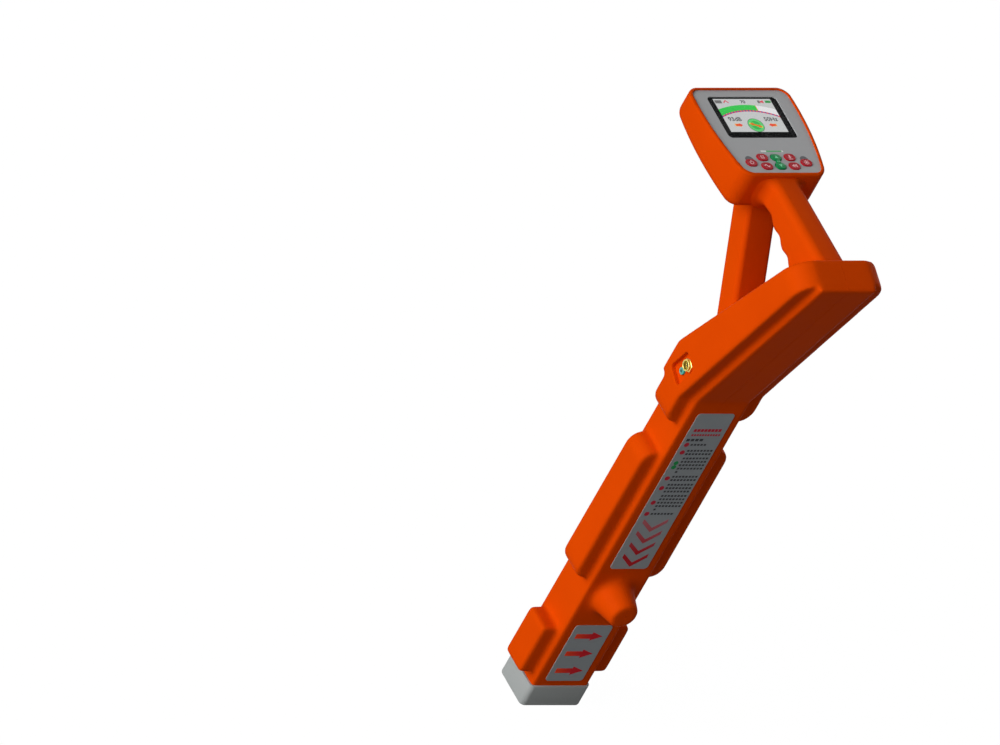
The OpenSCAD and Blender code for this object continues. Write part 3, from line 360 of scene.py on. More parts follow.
def moulded(name, colour, deep, roughness, grain, relief, specular):
    """Moulded plastic: a faint cloud in its colour and gloss, over a fine spark-eroded grain."""
    material, shader, place = new_finish(name, {"Specular IOR Level": specular})
    cloud = noise(place, 0.05)
    speck = noise(place, grain)
    feed(shader, "Base Color", blend(0.7 * cloud + 0.3 * speck, deep, colour))
    feed(shader, "Roughness", roughness - 0.04 + 0.08 * cloud)
    emboss(shader, speck, relief, grain / 4)
    return material


WALL = 0.003
CORE_X = 0.036
POD_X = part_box("right_shell")[1].x
FRONT_Y = foot_front.y
BACK_Y = -FRONT_Y
POD_IN = 0.0068
FRONT_BEND_Z = 0.446
FRONT_LEAN = math.radians(18.1)
BACK_BEND_Z = 0.4904
BACK_LEAN = math.radians(23.6)
TOP_BACK_Y = -0.0675
TOP_BACK_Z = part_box("right_shell")[1].z
TOP_SLOPE = math.radians(16.6)
TOP_SIDE_R = 0.026
SPIGOT_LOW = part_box("right_shell")[0].z
LOW_POD = (0.0397, 0.1055, 0.004)
MIDDLE_POD = (0.1783, 0.3652, 0.016)
BLOCK_POD_Z = 0.408
BLOCK_POD_R = 0.018
BLOCK_STEP_Z = 0.448
NOSE_Z = 0.1613
NOSE_LEN = 0.0332
NOSE_BASE_R = 0.024
NOSE_TIP_R = 0.0155
NOSE_FILLET = 0.007
NOSE_SIDES = 64
POCKET_MIDDLE = Vector((-POD_X, -0.002, 0.4745))
POCKET_DEEP = 0.006
POCKET_SIZE = (0.0235, 0.0335)
POCKET_CORNER = 0.004
POCKET_RIM_R = 0.0014
POCKET_FLOOR_R = 0.0008
ROUND_SIDES = 36
ROUND_STEPS = 6
SEAM = 0.0002
SKIN_VOXEL = 0.0015
CAVITY_VOXEL = 0.003
EASE_PASSES = 20
NEAR = 0.001
RIGHT = Vector((1, 0, 0))
lean_up = Vector((0, -math.sin(FRONT_LEAN), math.cos(FRONT_LEAN)))
lean_back = Vector((0, math.cos(FRONT_LEAN), math.sin(FRONT_LEAN)))


def block_outline(front_in, back_in, top_in):
    """The leaning block's side view above its bends, as (y, z) corners from back to front."""
    front, back, top = math.tan(FRONT_LEAN), math.tan(BACK_LEAN), math.tan(TOP_SLOPE)
    front_foot = FRONT_Y + front_in / math.cos(FRONT_LEAN) + FRONT_BEND_Z * front
    back_foot = BACK_Y - back_in / math.cos(BACK_LEAN) + BACK_BEND_Z * back
    top_foot = TOP_BACK_Z - TOP_BACK_Y * top - top_in / math.cos(TOP_SLOPE)
    front_z = (top_foot + top * front_foot) / (1 + top * front)
    back_z = (top_foot + top * back_foot) / (1 + top * back)
    return [
        (BACK_Y - back_in, BACK_BEND_Z - back_in * math.tan(BACK_LEAN / 2)),
        (back_foot - back_z * back, back_z),
        (front_foot - front_z * front, front_z),
        (FRONT_Y + front_in, FRONT_BEND_Z + front_in * math.tan(FRONT_LEAN / 2)),
    ]


def across(name, outline, half):
    """A slab of a side view, from -half to half across the wand."""
    return slab(name, [(-half, y, z) for y, z in outline], (2 * half, 0, 0))


def pod(name, low, high, corner, skin):
    """A pair of side pods: one bar right across the shaft, with its ends rounded."""
    size = (2 * (POD_X - skin), 2 * (BACK_Y - POD_IN - skin), high - low - 2 * skin)
    bar_across = cuboid(name, size, (0, 0, (low + high) / 2))
    round_edges(
        bar_across, lambda middle, way: abs(way.y) > ALIGNED, corner - skin, steps=8)
    return bar_across


def pocket_form(name, rings):
    """The socket pocket as a solid: (depth, grow) rings of its rounded outline."""
    half_w, half_h = (size / 2 for size in POCKET_SIZE)

    def place(along, round_share):
        depth, grow = row_at(rings, along)
        (y, z), _ = round_rect(
            round_share, half_w + grow, half_h + grow, POCKET_CORNER + grow)
        return POCKET_MIDDLE + depth * RIGHT + y * lean_back + z * lean_up

    return tube(name, ROUND_SIDES, len(rings), place)


def nose_form(name, skin):
    """The nose: a cone that swells into the shaft's front."""
    slant = math.atan((NOSE_BASE_R - NOSE_TIP_R) / NOSE_LEN)
    fillet = NOSE_FILLET + skin
    middle = NOSE_BASE_R - skin - fillet * math.tan(slant) + fillet / math.cos(slant)
    profile = [(-WALL - skin, middle)]
    profile += [
        (fillet + fillet * math.cos(turn), middle + fillet * math.sin(turn))
        for turn in spaced(math.pi, 1.5 * math.pi - slant, ROUND_STEPS)
    ]
    profile += [(NOSE_LEN - skin, NOSE_TIP_R - skin)]
    return turned(
        name, Vector((0, FRONT_Y + skin, NOSE_Z)), Vector((0, -1, 0)), profile, NOSE_SIDES)


def casing_form(name, skin, voxel):
    """The whole casing's form as one closed skin, that far inside its outer face."""
    low = SPIGOT_LOW + skin
    core = [(FRONT_Y + skin, low), (BACK_Y - skin, low)] + block_outline(skin, skin, skin)
    step_in = POD_IN + skin
    crown = block_outline(step_in, skin, skin)
    pods = [
        (FRONT_Y + step_in, BLOCK_POD_Z + skin),
        (BACK_Y - step_in, BLOCK_POD_Z + skin),
        (BACK_Y - step_in, BLOCK_STEP_Z + skin),
        (BACK_Y - skin, BLOCK_STEP_Z + skin),
    ] + crown
    block = across("block_pods", pods, POD_X - skin)
    at_side = POD_X - skin - NEAR
    at_foot = BLOCK_POD_Z + skin + NEAR
    round_edges(
        block, lambda middle, way: abs(middle.x) > at_side and middle.z < at_foot,
        BLOCK_POD_R - skin, steps=8)
    top_middle = (crown[1][0] + crown[2][0]) / 2
    round_edges(
        block, lambda middle, way: abs(middle.x) > at_side and abs(middle.y - top_middle) < NEAR,
        TOP_SIDE_R - skin, steps=12)
    if skin:
        pocket_wall = [(POCKET_DEEP + skin, skin), (-POCKET_DEEP, skin)]
        carve(block, pocket_form("pocket_wall", pocket_wall))
    form = join([
        across(name, core, CORE_X - skin),
        block,
        pod("low_pods", *LOW_POD, skin),
        pod("middle_pods", *MIDDLE_POD, skin),
        nose_form("nose", skin),
    ])
    modify(form, "REMESH", mode="VOXEL", voxel_size=voxel)
    return form


casing = casing_form("casing", 0, SKIN_VOXEL)
modify(casing, "SMOOTH", factor=1.0, iterations=EASE_PASSES)

# The socket pocket is cut with a rounded rim and a soft edge round its floor
floor_rings = [
    (POCKET_DEEP - rise, -inset) for inset, rise in quarter_round(POCKET_FLOOR_R, ROUND_STEPS)]
rim_rings = quarter_round(POCKET_RIM_R, ROUND_STEPS) + [(-POCKET_DEEP, POCKET_RIM_R)]
carve(casing, pocket_form("pocket", floor_rings + rim_rings))

# The shaft's end is cut back to a spigot that the boot slides over
boot_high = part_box("foot_boot")[1]
BOOT_WALL = 0.0035
FIT = 0.0002
COLLAR_W = 0.2
COLLAR_H = 0.1
spigot_x = boot_high.x - BOOT_WALL - FIT
spigot_y = boot_high.y - BOOT_WALL - FIT
collar = cuboid(
    "collar", (COLLAR_W, COLLAR_W, COLLAR_H), (0, 0, boot_high.z - COLLAR_H / 2))
carve(collar, cuboid("spigot", (2 * spigot_x, 2 * spigot_y, 1)))
carve(casing, collar)
carve(casing, casing_form("cavity", WALL, CAVITY_VOXEL))

orange_plastic = moulded(
    "orange_plastic", srgb(228, 75, 2), srgb(216, 68, 1),
    roughness=0.42, grain=0.0005, relief=0.25, specular=0.005)


# Strut: a hollow orange bar from the block's back to the head's floor, with soft edges.
# Its root sits in an opening of the two halves, and two screws hold its top under the head.
def meet(start, way, spot, facing):
    """How far along way a line from start goes to meet the plane at spot that faces that way."""
    return (spot - start).dot(facing) / way.dot(facing)


def smooth(piece, angle=35):
    """Smooth shading, with edges kept where faces meet at more than the angle."""
    alone(piece)
    bpy.ops.object.shade_smooth_by_angle(angle=math.radians(angle))


def hand_over(piece, material, slot, body, *nodes):
    """Gives a finished piece its material and body, and hides the CAD nodes it stands for. Its slot
    is not used.
    """
    piece.data.materials.clear()
    piece.data.materials.append(material)
    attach(piece, body)
    if nodes:
        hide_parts(*nodes)


head_low, head_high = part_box("head_tray")
STRUT_W = 0.0385
STRUT_D = 0.0311
STRUT_R = 0.006
STRUT_RINGS = 24
STRUT_FOOT = Vector((0, 0.012835, 0.5171))
STRUT_HEAD = Vector((0, 0.090, 0.648637))
HEAD_SLOPE = math.radians(7.4)
ROOT_DEEP = 0.0025
ROOT_GAP = 0.00012
back_facing = Vector((0, math.cos(BACK_LEAN), math.sin(BACK_LEAN)))
root_spot = Vector((0, BACK_Y, BACK_BEND_Z)) - ROOT_DEEP * back_facing
head_floor = Vector((0, head_low.y, head_low.z))
floor_facing = Vector((0, -math.sin(HEAD_SLOPE), math.cos(HEAD_SLOPE)))


def strut_form(name, grow, rings):
    """The strut between the block's back wall and the head's floor, grown by that much."""
    way = (STRUT_HEAD - STRUT_FOOT).normalized()
    deep_way = way.cross(RIGHT)

    def place(along, round_share):
        (x, deep), _ = round_rect(
            round_share, STRUT_W / 2 + grow, STRUT_D / 2 + grow, STRUT_R + grow)
        start = STRUT_FOOT + x * RIGHT + deep * deep_way
        low = meet(start, way, root_spot, back_facing)
        high = meet(start, way, head_floor, floor_facing)
        return start + (low + along * (high - low)) * way

    return tube(name, ROUND_SIDES, rings, place)


carve(casing, strut_form("strut_opening", ROOT_GAP, 2))
strut_bar = strut_form("strut_bar", 0, STRUT_RINGS)
smooth(strut_bar)
hand_over(strut_bar, orange_plastic, "orange_shell", "body", "strut")


# Grip: the handle between the block and the head, moulded in the same orange plastic.
# Three finger hollows wave along its underside, and it swells into the head's near wall.
GRIP_HALF = 0.0178
GRIP_TOP = 0.6918
GRIP_UNDER = 0.6598
GRIP_SLOPE = math.radians(11)
GRIP_R = 0.0095
GRIP_ROOT_Y = -0.052
GRIP_RINGS = 120
GRIP_HOLE_RINGS = 30
HOLLOW_FIRST = 0.0243
HOLLOW_PITCH = 0.027
HOLLOW_COUNT = 3
HOLLOW_DEEP = 0.0032
FLARE_R = 0.013


def grip_form(name, grow, rings):
    """The grip from the block's back wall to the head's near wall, grown by that much."""

    def place(along, round_share):
        off_head = (1 - along) * (head_low.y - GRIP_ROOT_Y)
        under = GRIP_UNDER - off_head * math.tan(GRIP_SLOPE)
        turn = (off_head - HOLLOW_FIRST) / HOLLOW_PITCH
        if -0.5 < turn < HOLLOW_COUNT - 0.5:
            under += HOLLOW_DEEP * (0.5 + 0.5 * math.cos(math.tau * turn))
        half_h = (GRIP_TOP - under) / 2
        (x, z), way = round_rect(round_share, GRIP_HALF + grow, half_h + grow, GRIP_R + grow)
        if off_head < FLARE_R:
            swell = FLARE_R - math.sqrt(FLARE_R**2 - (FLARE_R - off_head) ** 2)
            x += swell * way.x
            z += swell * min(way.y, 0)
        z += (GRIP_TOP + under) / 2
        start = Vector((x, head_low.y, z))
        back = meet(start, Vector((0, 1, 0)), root_spot, back_facing)
        return start + Vector((0, (1 - along) * back, 0))

    return tube(name, ROUND_SIDES, rings, place)


carve(casing, grip_form("grip_opening", ROOT_GAP, GRIP_HOLE_RINGS))
grip_bar = grip_form("grip_bar", 0, GRIP_RINGS)
smooth(grip_bar)
hand_over(grip_bar, orange_plastic, "orange_shell", "body", "grip")


# Casing halves: the holes for the screws, the socket and the jack are drilled, and the skin
# is parted on the middle plane.
SIDEWAYS = (0, math.pi / 2, 0)
UPRIGHT = (0, 0, 0)


def drill(piece, radius, depth, middle, turn=SIDEWAYS, sides=32):
    """Drills a round hole about its middle."""
    carve(piece, add(
        "cylinder", "drill", vertices=sides, radius=radius, depth=depth,
        location=middle, rotation=turn,
    ))


def copy_of(piece, name):
    """A copy with a mesh of its own."""
    alone(piece)
    bpy.ops.object.duplicate()
    twin = bpy.context.object
    twin.name = twin.data.name = name
    return twin


SCREW_HOLE_R = 0.0039
SCREW_FLOOR = 0.0046
SCREW_PLACES = [
    Vector((CORE_X, 0.01225, 0.1421)),
    Vector((CORE_X, -0.01225, 0.1421)),
    Vector((CORE_X, -0.01225, 0.38425)),
    Vector((POD_X, -0.0212, 0.5264)),
    Vector((POD_X, -0.0675, 0.662)),
]
for spot in SCREW_PLACES:
    drill(casing, SCREW_HOLE_R, 2 * SCREW_FLOOR, spot)

SOCKET_UP = 0.007
SOCKET_TAIL_R = 0.005
JACK_DOWN = 0.006
JACK_TAIL_R = 0.0032
pocket_floor = POCKET_MIDDLE + POCKET_DEEP * RIGHT
socket_spot = pocket_floor + SOCKET_UP * lean_up
jack_spot = pocket_floor - JACK_DOWN * lean_up
drill(casing, SOCKET_TAIL_R + FIT, 4 * WALL, socket_spot)
drill(casing, JACK_TAIL_R + FIT, 4 * WALL, jack_spot)

HALVES = ((-1, "casing_left", "left_shell"), (1, "casing_right", "right_shell"))
for side, name, node in HALVES:
    half = copy_of(casing, name)
    carve(half, cuboid("half_space", (1, 1, 2), (side * (0.5 + SEAM / 2), 0, 0.5)), "INTERSECT")
    smooth(half, 40)
    hand_over(half, orange_plastic, "orange_shell", "body", node)
bpy.data.objects.remove(casing)


# Aerials: four ferrite rods, two across the pods, one upright in the shaft and one in the nose.
# Each rod is a dark fired ceramic and carries a coil of enamelled copper wire, with painted shade
# in the grooves between its turns.
def dress(material, *nodes):
    """Puts the material in the slots of CAD nodes that stay as they are."""
    for node in nodes:
        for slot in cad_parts[node].material_slots:
            slot.material = material


def stripes(place, direction, pitch):
    """A wire of even stripes along an axis, with that pitch in metres."""
    scale = math.tau / (20 * pitch)
    return place.node(
        "TexWave", {"bands_direction": direction}, {"Vector": place, "Scale": scale})


ferrite, shader, place = new_finish("ferrite", {"Specular IOR Level": 0.3})
speck = noise(place, 0.0006, 4.0)
feed(shader, "Base Color", blend(speck, srgb(40, 40, 43), srgb(82, 82, 86)))
feed(shader, "Roughness", 0.45 + 0.25 * speck)
dress(ferrite, "lower_rod", "upper_rod", "upright_rod", "nose_rod")

WIRE_PITCH = 0.0006
COILS = {"lower_coil": "X", "upper_coil": "X", "upright_coil": "Z", "nose_coil": "Y"}
for coil, direction in COILS.items():
    copper, shader, place = new_finish(coil + "_wire", {"Metallic": 0.8})
    shaded_turns = stripes(place, direction, WIRE_PITCH)
    # Painted shade: the copper's colour is darker in the groove between each pair of turns.
    feed(shader, "Base Color", blend(shaded_turns, srgb(96, 40, 18), srgb(214, 122, 70)))
    feed(shader, "Roughness", 0.5 - 0.2 * shaded_turns)
    emboss(shader, shaded_turns, 0.6, WIRE_PITCH / 3)
    dress(copper, coil)


# Boards: the main board in the shaft and the keypad board in the head, green glass laminate
# with copper tracks under the lacquer. Small screws hold them to posts.
BLACK, WHITE, DARK_GREY = (0, 0, 0, 1), (1, 1, 1, 1), (0.15, 0.15, 0.15, 1)
laminate, shader, place = new_finish("board_laminate", {"Specular IOR Level": 0.4})
tracks = place.node("TexBrick", {"offset": 0.35}, {
    "Vector": place, "Scale": 1.0, "Mortar Size": 0.0005, "Brick Width": 0.009,
    "Row Height": 0.0022, "Color1": BLACK, "Color2": DARK_GREY, "Mortar": WHITE,
})
feed(shader, "Base Color", blend(tracks, srgb(18, 84, 48), srgb(70, 140, 76)))
feed(shader, "Roughness", 0.35 + 0.2 * noise(place, 0.004))
dress(laminate, "main_board", "keypad_board")

dark_plastic = moulded(
    "dark_plastic", srgb(52, 54, 58), srgb(38, 40, 44),
    roughness=0.5, grain=0.0006, relief=0.3, specular=0.3)
dress(dark_plastic, "battery_cradle", "key_switches", "rocker_saddle", "sounder")


# Battery cells: four round cells in shrink wrap, side by side in a cradle in the leaning block.
# The wrap is printed dark with a copper-coloured end.
wrap, shader, place = new_finish("cell_wrap", {"Specular IOR Level": 0.5, "Roughness": 0.3})
CELL_DARK = 0.012
cell_middle_z = sum(corner.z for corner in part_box("battery_cells")) / 2
height = place.node("SeparateXYZ", {}, {"Vector": place}, out=2)
copper_end = height > cell_middle_z + CELL_DARK
feed(shader, "Base Color", blend(copper_end, srgb(34, 36, 44), srgb(190, 116, 62)))
emboss(shader, noise(place, 0.003), 0.2, 0.0003)
dress(wrap, "battery_cells")


# Display ribbon: a thin flat cable of pale film with side-by-side copper lanes, from the main
# board up through the strut to the keypad board.
ribbon_film, shader, place = new_finish(
    "ribbon_film", {"Specular IOR Level": 0.5, "Roughness": 0.35})
LANE_PITCH = 0.0012
lanes = stripes(place, "X", LANE_PITCH)
feed(shader, "Base Color", blend(lanes, srgb(214, 206, 188), srgb(186, 132, 84)))
dress(ribbon_film, "display_ribbon")


# Foot boot: a pale grey rubber cap that slides over the shaft's end and takes the knocks.
# It stands a little proud of the shaft, and two screws hold it from below.
BOOT_EDGE_R = 0.0065
BOOT_SOLE_R = 0.0025
BOOT_LIP_R = 0.0007
BOOT_SOLE = 0.005
TOUCH = 0.0001
boot = cuboid(
    "boot", (2 * boot_high.x, 2 * boot_high.y, boot_high.z), (0, 0, boot_high.z / 2))
round_edges(boot, lambda middle, way: abs(way.z) > ALIGNED, BOOT_EDGE_R, steps=8)
round_edges(boot, lambda middle, way: middle.z < TOUCH, BOOT_SOLE_R, steps=5)
pick(boot, "FACE", lambda middle, way: way.z > ALIGNED)
bpy.ops.mesh.inset(thickness=BOOT_WALL)
bpy.ops.mesh.extrude_region_move(
    TRANSFORM_OT_translate={"value": (0, 0, BOOT_SOLE - boot_high.z)})
bpy.ops.object.mode_set(mode="OBJECT")


def on_lip(middle, way):
    """Whether an edge lies on the outer edge of the boot's lip."""
    x, y = abs(middle.x), abs(middle.y)
    return middle.z > boot_high.z - TOUCH and (
        x > boot_high.x - BOOT_WALL / 2
        or y > boot_high.y - BOOT_WALL / 2
        or (x > spigot_x and y > spigot_y - BOOT_EDGE_R)
    )


round_edges(boot, on_lip, BOOT_LIP_R, steps=3)
smooth(boot)
grey_rubber = moulded(
    "grey_rubber", srgb(172, 176, 175), srgb(160, 164, 163),
    roughness=0.62, grain=0.0008, relief=0.3, specular=0.03)
hand_over(boot, grey_rubber, "grey_boot", "body", "foot_boot")


# Screws: steel pan heads with a cross recess. Five go in from the right side and hold the two
# halves, two hold the boot from below, and the small ones inside hold the boards and the plate.
HEAD_R = 0.0036
HEAD_H = 0.0026
HEAD_SUNK = 0.001
HEAD_ROUND = 0.35 * HEAD_R
SHANK_R = 0.0017
SHANK_LEN = 0.03
THREAD_PITCH = 0.0014
THREAD_DEEP = 0.0004
POLE_R = 0.0003
CROSS_W = 0.0009
CROSS_LEN = 0.0044
CROSS_DEEP = 0.0013
UP = Vector((0, 0, 1))
shank = [
    (-HEAD_H - SHANK_LEN + step * THREAD_PITCH / 2, SHANK_R - step % 2 * THREAD_DEEP)
    for step in range(round(2 * SHANK_LEN / THREAD_PITCH))
]
pan = [(-HEAD_H, SHANK_R), (-HEAD_H, HEAD_R)]
pan += [(-down, HEAD_R - inset) for down, inset in quarter_round(HEAD_ROUND, ROUND_STEPS)]
pan += [(0, POLE_R)]
screw = turned("screw", Vector(), UP, shank + pan, sides=32)
for size in ((CROSS_LEN, CROSS_W), (CROSS_W, CROSS_LEN)):
    carve(screw, cuboid("cross", (*size, 2 * CROSS_DEEP)))
smooth(screw)

screw_steel, shader, place = new_finish("screw_steel", {"Metallic": 1.0})
scuff = noise(place, 0.0008, 4.0)
feed(shader, "Base Color", blend(scuff, srgb(150, 152, 156), srgb(205, 207, 210)))
feed(shader, "Roughness", 0.28 + 0.2 * scuff)


def driven(name, spot, way):
    """A copy of the screw, driven in at a spot with its head facing that way."""
    twin = copy_of(screw, name)
    twin.rotation_mode = "QUATERNION"
    twin.rotation_quaternion = way.to_track_quat("Z", "Y")
    twin.location = spot
    bpy.ops.object.transform_apply()
    return twin


shell_set = join([
    driven("casing_screws", spot - HEAD_SUNK * RIGHT, RIGHT) for spot in SCREW_PLACES])
hand_over(shell_set, screw_steel, "screw_steel", "body", "shell_screws")

FOOT_SCREW_X = 0.021
FOOT_SUNK = 0.0004
foot_spots = [Vector((side * FOOT_SCREW_X, 0, FOOT_SUNK)) for side in (-1, 1)]
for spot in foot_spots:
    drill(
        boot, SCREW_HOLE_R, 2 * (FOOT_SUNK + HEAD_H), (spot.x, 0, 0), turn=UPRIGHT, sides=40)
smooth(boot)
foot_set = join([driven("boot_screws", spot, -UP) for spot in foot_spots])
hand_over(foot_set, screw_steel, "screw_steel", "body", "foot_screws")
dress(screw_steel, "neck_screws", "plate_screws", "board_screws")
bpy.data.objects.remove(screw)


# Head tray: the orange tub that carries the display, open at its top. Its long sides bow out,
# its floor rises away from the grip, and a rim with a ledge inside takes the face plate.
HEAD_WIDE_Y = 0.160
HEAD_SIDE_R = 0.348
HEAD_NEAR_R = 0.017
HEAD_FAR_R = 0.015
HEAD_BOTTOM_R = 0.011
RIM_R = 0.0028
RIM_W = 0.004
RIM_EASE = 0.0003
LEDGE_W = 0.003
LEDGE_Z = 0.691
CORNER_STEPS = 12
SIDE_STEPS = 20
SECTION_STEPS = 7
side_middle = Vector((head_high.x - HEAD_SIDE_R, HEAD_WIDE_Y))


def head_corner(radius, y):
    """The middle of a corner arc that touches the side arc and the edge at that y."""
    inward = radius if y < HEAD_WIDE_Y else -radius
    off = y + inward - side_middle.y
    reach = math.sqrt((HEAD_SIDE_R - radius) ** 2 - off**2)
    return Vector((side_middle.x + reach, y + inward))


def head_ring():
    """Places round the head as (arc's middle, radius, angle), up the right side and back."""
    near = head_corner(HEAD_NEAR_R, head_low.y)
    far = head_corner(HEAD_FAR_R, head_high.y)
    low = math.atan2(near.y - side_middle.y, near.x - side_middle.x)
    high = math.atan2(far.y - side_middle.y, far.x - side_middle.x)
    right = [(near, HEAD_NEAR_R, -math.pi / 2)]
    for middle, radius, start, end, steps in (
        (near, HEAD_NEAR_R, -math.pi / 2, low, CORNER_STEPS),
        (side_middle, HEAD_SIDE_R, low, high, SIDE_STEPS),
        (far, HEAD_FAR_R, high, math.pi / 2, CORNER_STEPS),
    ):
        right += [(middle, radius, angle) for angle in spaced(start, end, steps)[1:]]
    left = [
        (Vector((-middle.x, middle.y)), radius, math.pi - angle)
        for middle, radius, angle in reversed(right)
    ]
    return right + left


ring = head_ring()

# The tray's section as (inset, height, above): above the sloping floor, or else a true height
tray_section = [(*pair, True) for pair in quarter_round(HEAD_BOTTOM_R, SECTION_STEPS)]
tray_section += [
    (inset, head_high.z - down, False) for down, inset in quarter_round(RIM_R, SECTION_STEPS)]
tray_section += [
    (RIM_W - RIM_EASE, head_high.z, False),
    (RIM_W, head_high.z - RIM_EASE, False),
    (RIM_W, LEDGE_Z, False),
    (RIM_W + LEDGE_W, LEDGE_Z, False),
    (RIM_W + LEDGE_W, WALL, True),
]


def tray_place(along, round_share):
    """A point of the tray's skin."""
    inset, height, above = row_at(tray_section, along)
    middle, radius, angle = ring[round(round_share * len(ring)) % len(ring)]
    spot = middle + (radius - inset) * Vector((math.cos(angle), math.sin(angle)))
    if above:
        height += head_low.z + (spot.y - head_low.y) * math.tan(HEAD_SLOPE)
    return (spot.x, spot.y, height)


tray = tube("tray", len(ring), len(tray_section), tray_place)
smooth(tray, 50)
hand_over(tray, orange_plastic, "orange_shell", "body", "head_tray")


# Display: a lit panel behind a black mask and a clear window that is bonded in the face plate.
# The panel shows a signal gauge, a compass and readings, drawn by its own pixels.
def arc_of(u, v, radius, angles):
    """Flat points on a circle at some angles."""
    return [(u + radius * math.cos(angle), v + radius * math.sin(angle)) for angle in angles]


def ring_of(u, v, radius, steps=28):
    """A round shape as flat corners."""
    return arc_of(u, v, radius, spaced(0, math.tau, steps)[:-1])


def stroke(points, width):
    """A line of one width through several points, as one ring of corners with mitred turns."""
    spots = [Vector(point) for point in points]
    ways = [(after - before).normalized() for before, after in zip(spots, spots[1:])]
    left, right = [], []
    for spot, before, after in zip(spots, ways[:1] + ways, ways + ways[-1:]):
        along = (before + after).normalized()
        side = Vector((-along.y, along.x)) * width / (2 * along.dot(after))
        left.append(spot + side)
        right.append(spot - side)
    return right + left[::-1]


def swung(shape, turn):
    """A flat shape turned about its origin."""
    c, s = math.cos(turn), math.sin(turn)
    return [(c * u - s * v, s * u + c * v) for u, v in shape]


def arrow(u, v, length, head_len, head_w, shaft_w, turn=0.0):
    """An arrow about its middle, pointing along u and then turned."""
    tip, neck = length / 2, length / 2 - head_len
    corners = [
        (-tip, -shaft_w / 2), (neck, -shaft_w / 2), (neck, -head_w / 2), (tip, 0),
        (neck, head_w / 2), (neck, shaft_w / 2), (-tip, shaft_w / 2),
    ]
    return [(u + a, v + b) for a, b in swung(corners, turn)]


def box_of(u, v, width, height):
    """An upright rectangle about its middle."""
    return stroke([(u - width / 2, v), (u + width / 2, v)], height)


def printed(name, shapes, place, rise, material, body="body"):
    """Thin print: each shape is a ring of flat corners that place sets on its surface."""
    piece = join([slab(name, [place(u, v) for u, v in shape], rise) for shape in shapes])
    hand_over(piece, material, None, body)


PIXEL = 0.00023
PICTURE_W = 0.07344
PICTURE_H = 0.04896
PICTURE_Y = 0.15288
PICTURE_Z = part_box("lcd_module")[1].z
LAYER = 0.00004
FILM = Vector((0, 0, 0.00003))
half_w = PICTURE_W / 2


def lit_ink(name, colour):
    """Lit pixels of one colour, with the fine dark grid between them."""
    material, shader, place = new_finish(name, {
        "Base Color": (0.02, 0.02, 0.02, 1), "Roughness": 0.35,
        "Specular IOR Level": 0.1, "Emission Strength": 1.0,
    })
    grid = stripes(place, "X", PIXEL) * stripes(place, "Y", PIXEL)
    dim = (*[0.8 * part for part in colour[:3]], 1)
    feed(shader, "Emission Color", blend(grid, dim, colour))
    return material


def screen(layer):
    """Sets flat corners on the panel, that many layers up."""
    return lambda u, v: (u, PICTURE_Y + v, PICTURE_Z + LAYER * layer)


def gauge_band(outer, inner, start, end, steps=24):
    """A band between two arcs, each (radius, top), from one place across the picture to another."""
    places = spaced(start, end, steps)
    (upper, upper_top), (lower, lower_top) = outer, inner
    over = [(u, upper_top - upper + math.sqrt(upper**2 - u**2)) for u in places]
    return over + [(u, lower_top - lower + math.sqrt(lower**2 - u**2)) for u in reversed(places)]


TICK_H = 0.0022
TICKS = 36
GAUGE_OUT = (0.103, 0.0157)
GAUGE_IN = (0.082, 0.0081)
TICK_IN = (GAUGE_IN[0], GAUGE_IN[1] - TICK_H)
GAUGE_FULL = 0.0130
GAUGE_REST = GAUGE_FULL + 0.0006
tick_edges = spaced(-half_w, half_w, TICKS)
ticks = [gauge_band(GAUGE_IN, TICK_IN, a, b, 2) for a, b in zip(tick_edges, tick_edges[1:])]

COMPASS = (0.0, -0.0143)
COMPASS_R = 0.0100
COMPASS_EDGE = 0.0006
COMPASS_CORE = 0.62
COMPASS_STEPS = 40
NEEDLE_TURN = math.radians(-22)
# Arrow sizes: length, head's length, head's width, shaft's width
NEEDLE_EDGE = (0.0154, 0.0042, 0.0046, 0.0022)
NEEDLE = (0.0134, 0.0034, 0.0034, 0.0013)
POINTER_EDGE = (0.0100, 0.0042, 0.0062, 0.0038)
POINTER = (0.0084, 0.0036, 0.0048, 0.0024)
POINTER_EDGE_U = 0.0216
POINTER_U = POINTER_EDGE_U - 0.0006
POINTER_V = -0.0140


def needle(sizes):
    """Two arrows from the compass's middle, out to both sides."""
    return [arrow(*COMPASS, *sizes, NEEDLE_TURN + turn) for turn in (0, math.pi)]


def pointers(u, sizes):
    """Two arrows beside the compass that point at it."""
    return [arrow(-u, POINTER_V, *sizes), arrow(u, POINTER_V, *sizes, math.pi)]


ICON_V = 0.0203


def raised(shape):
    """A flat shape moved up to the row of icons."""
    return [(u, ICON_V + v) for u, v in shape]


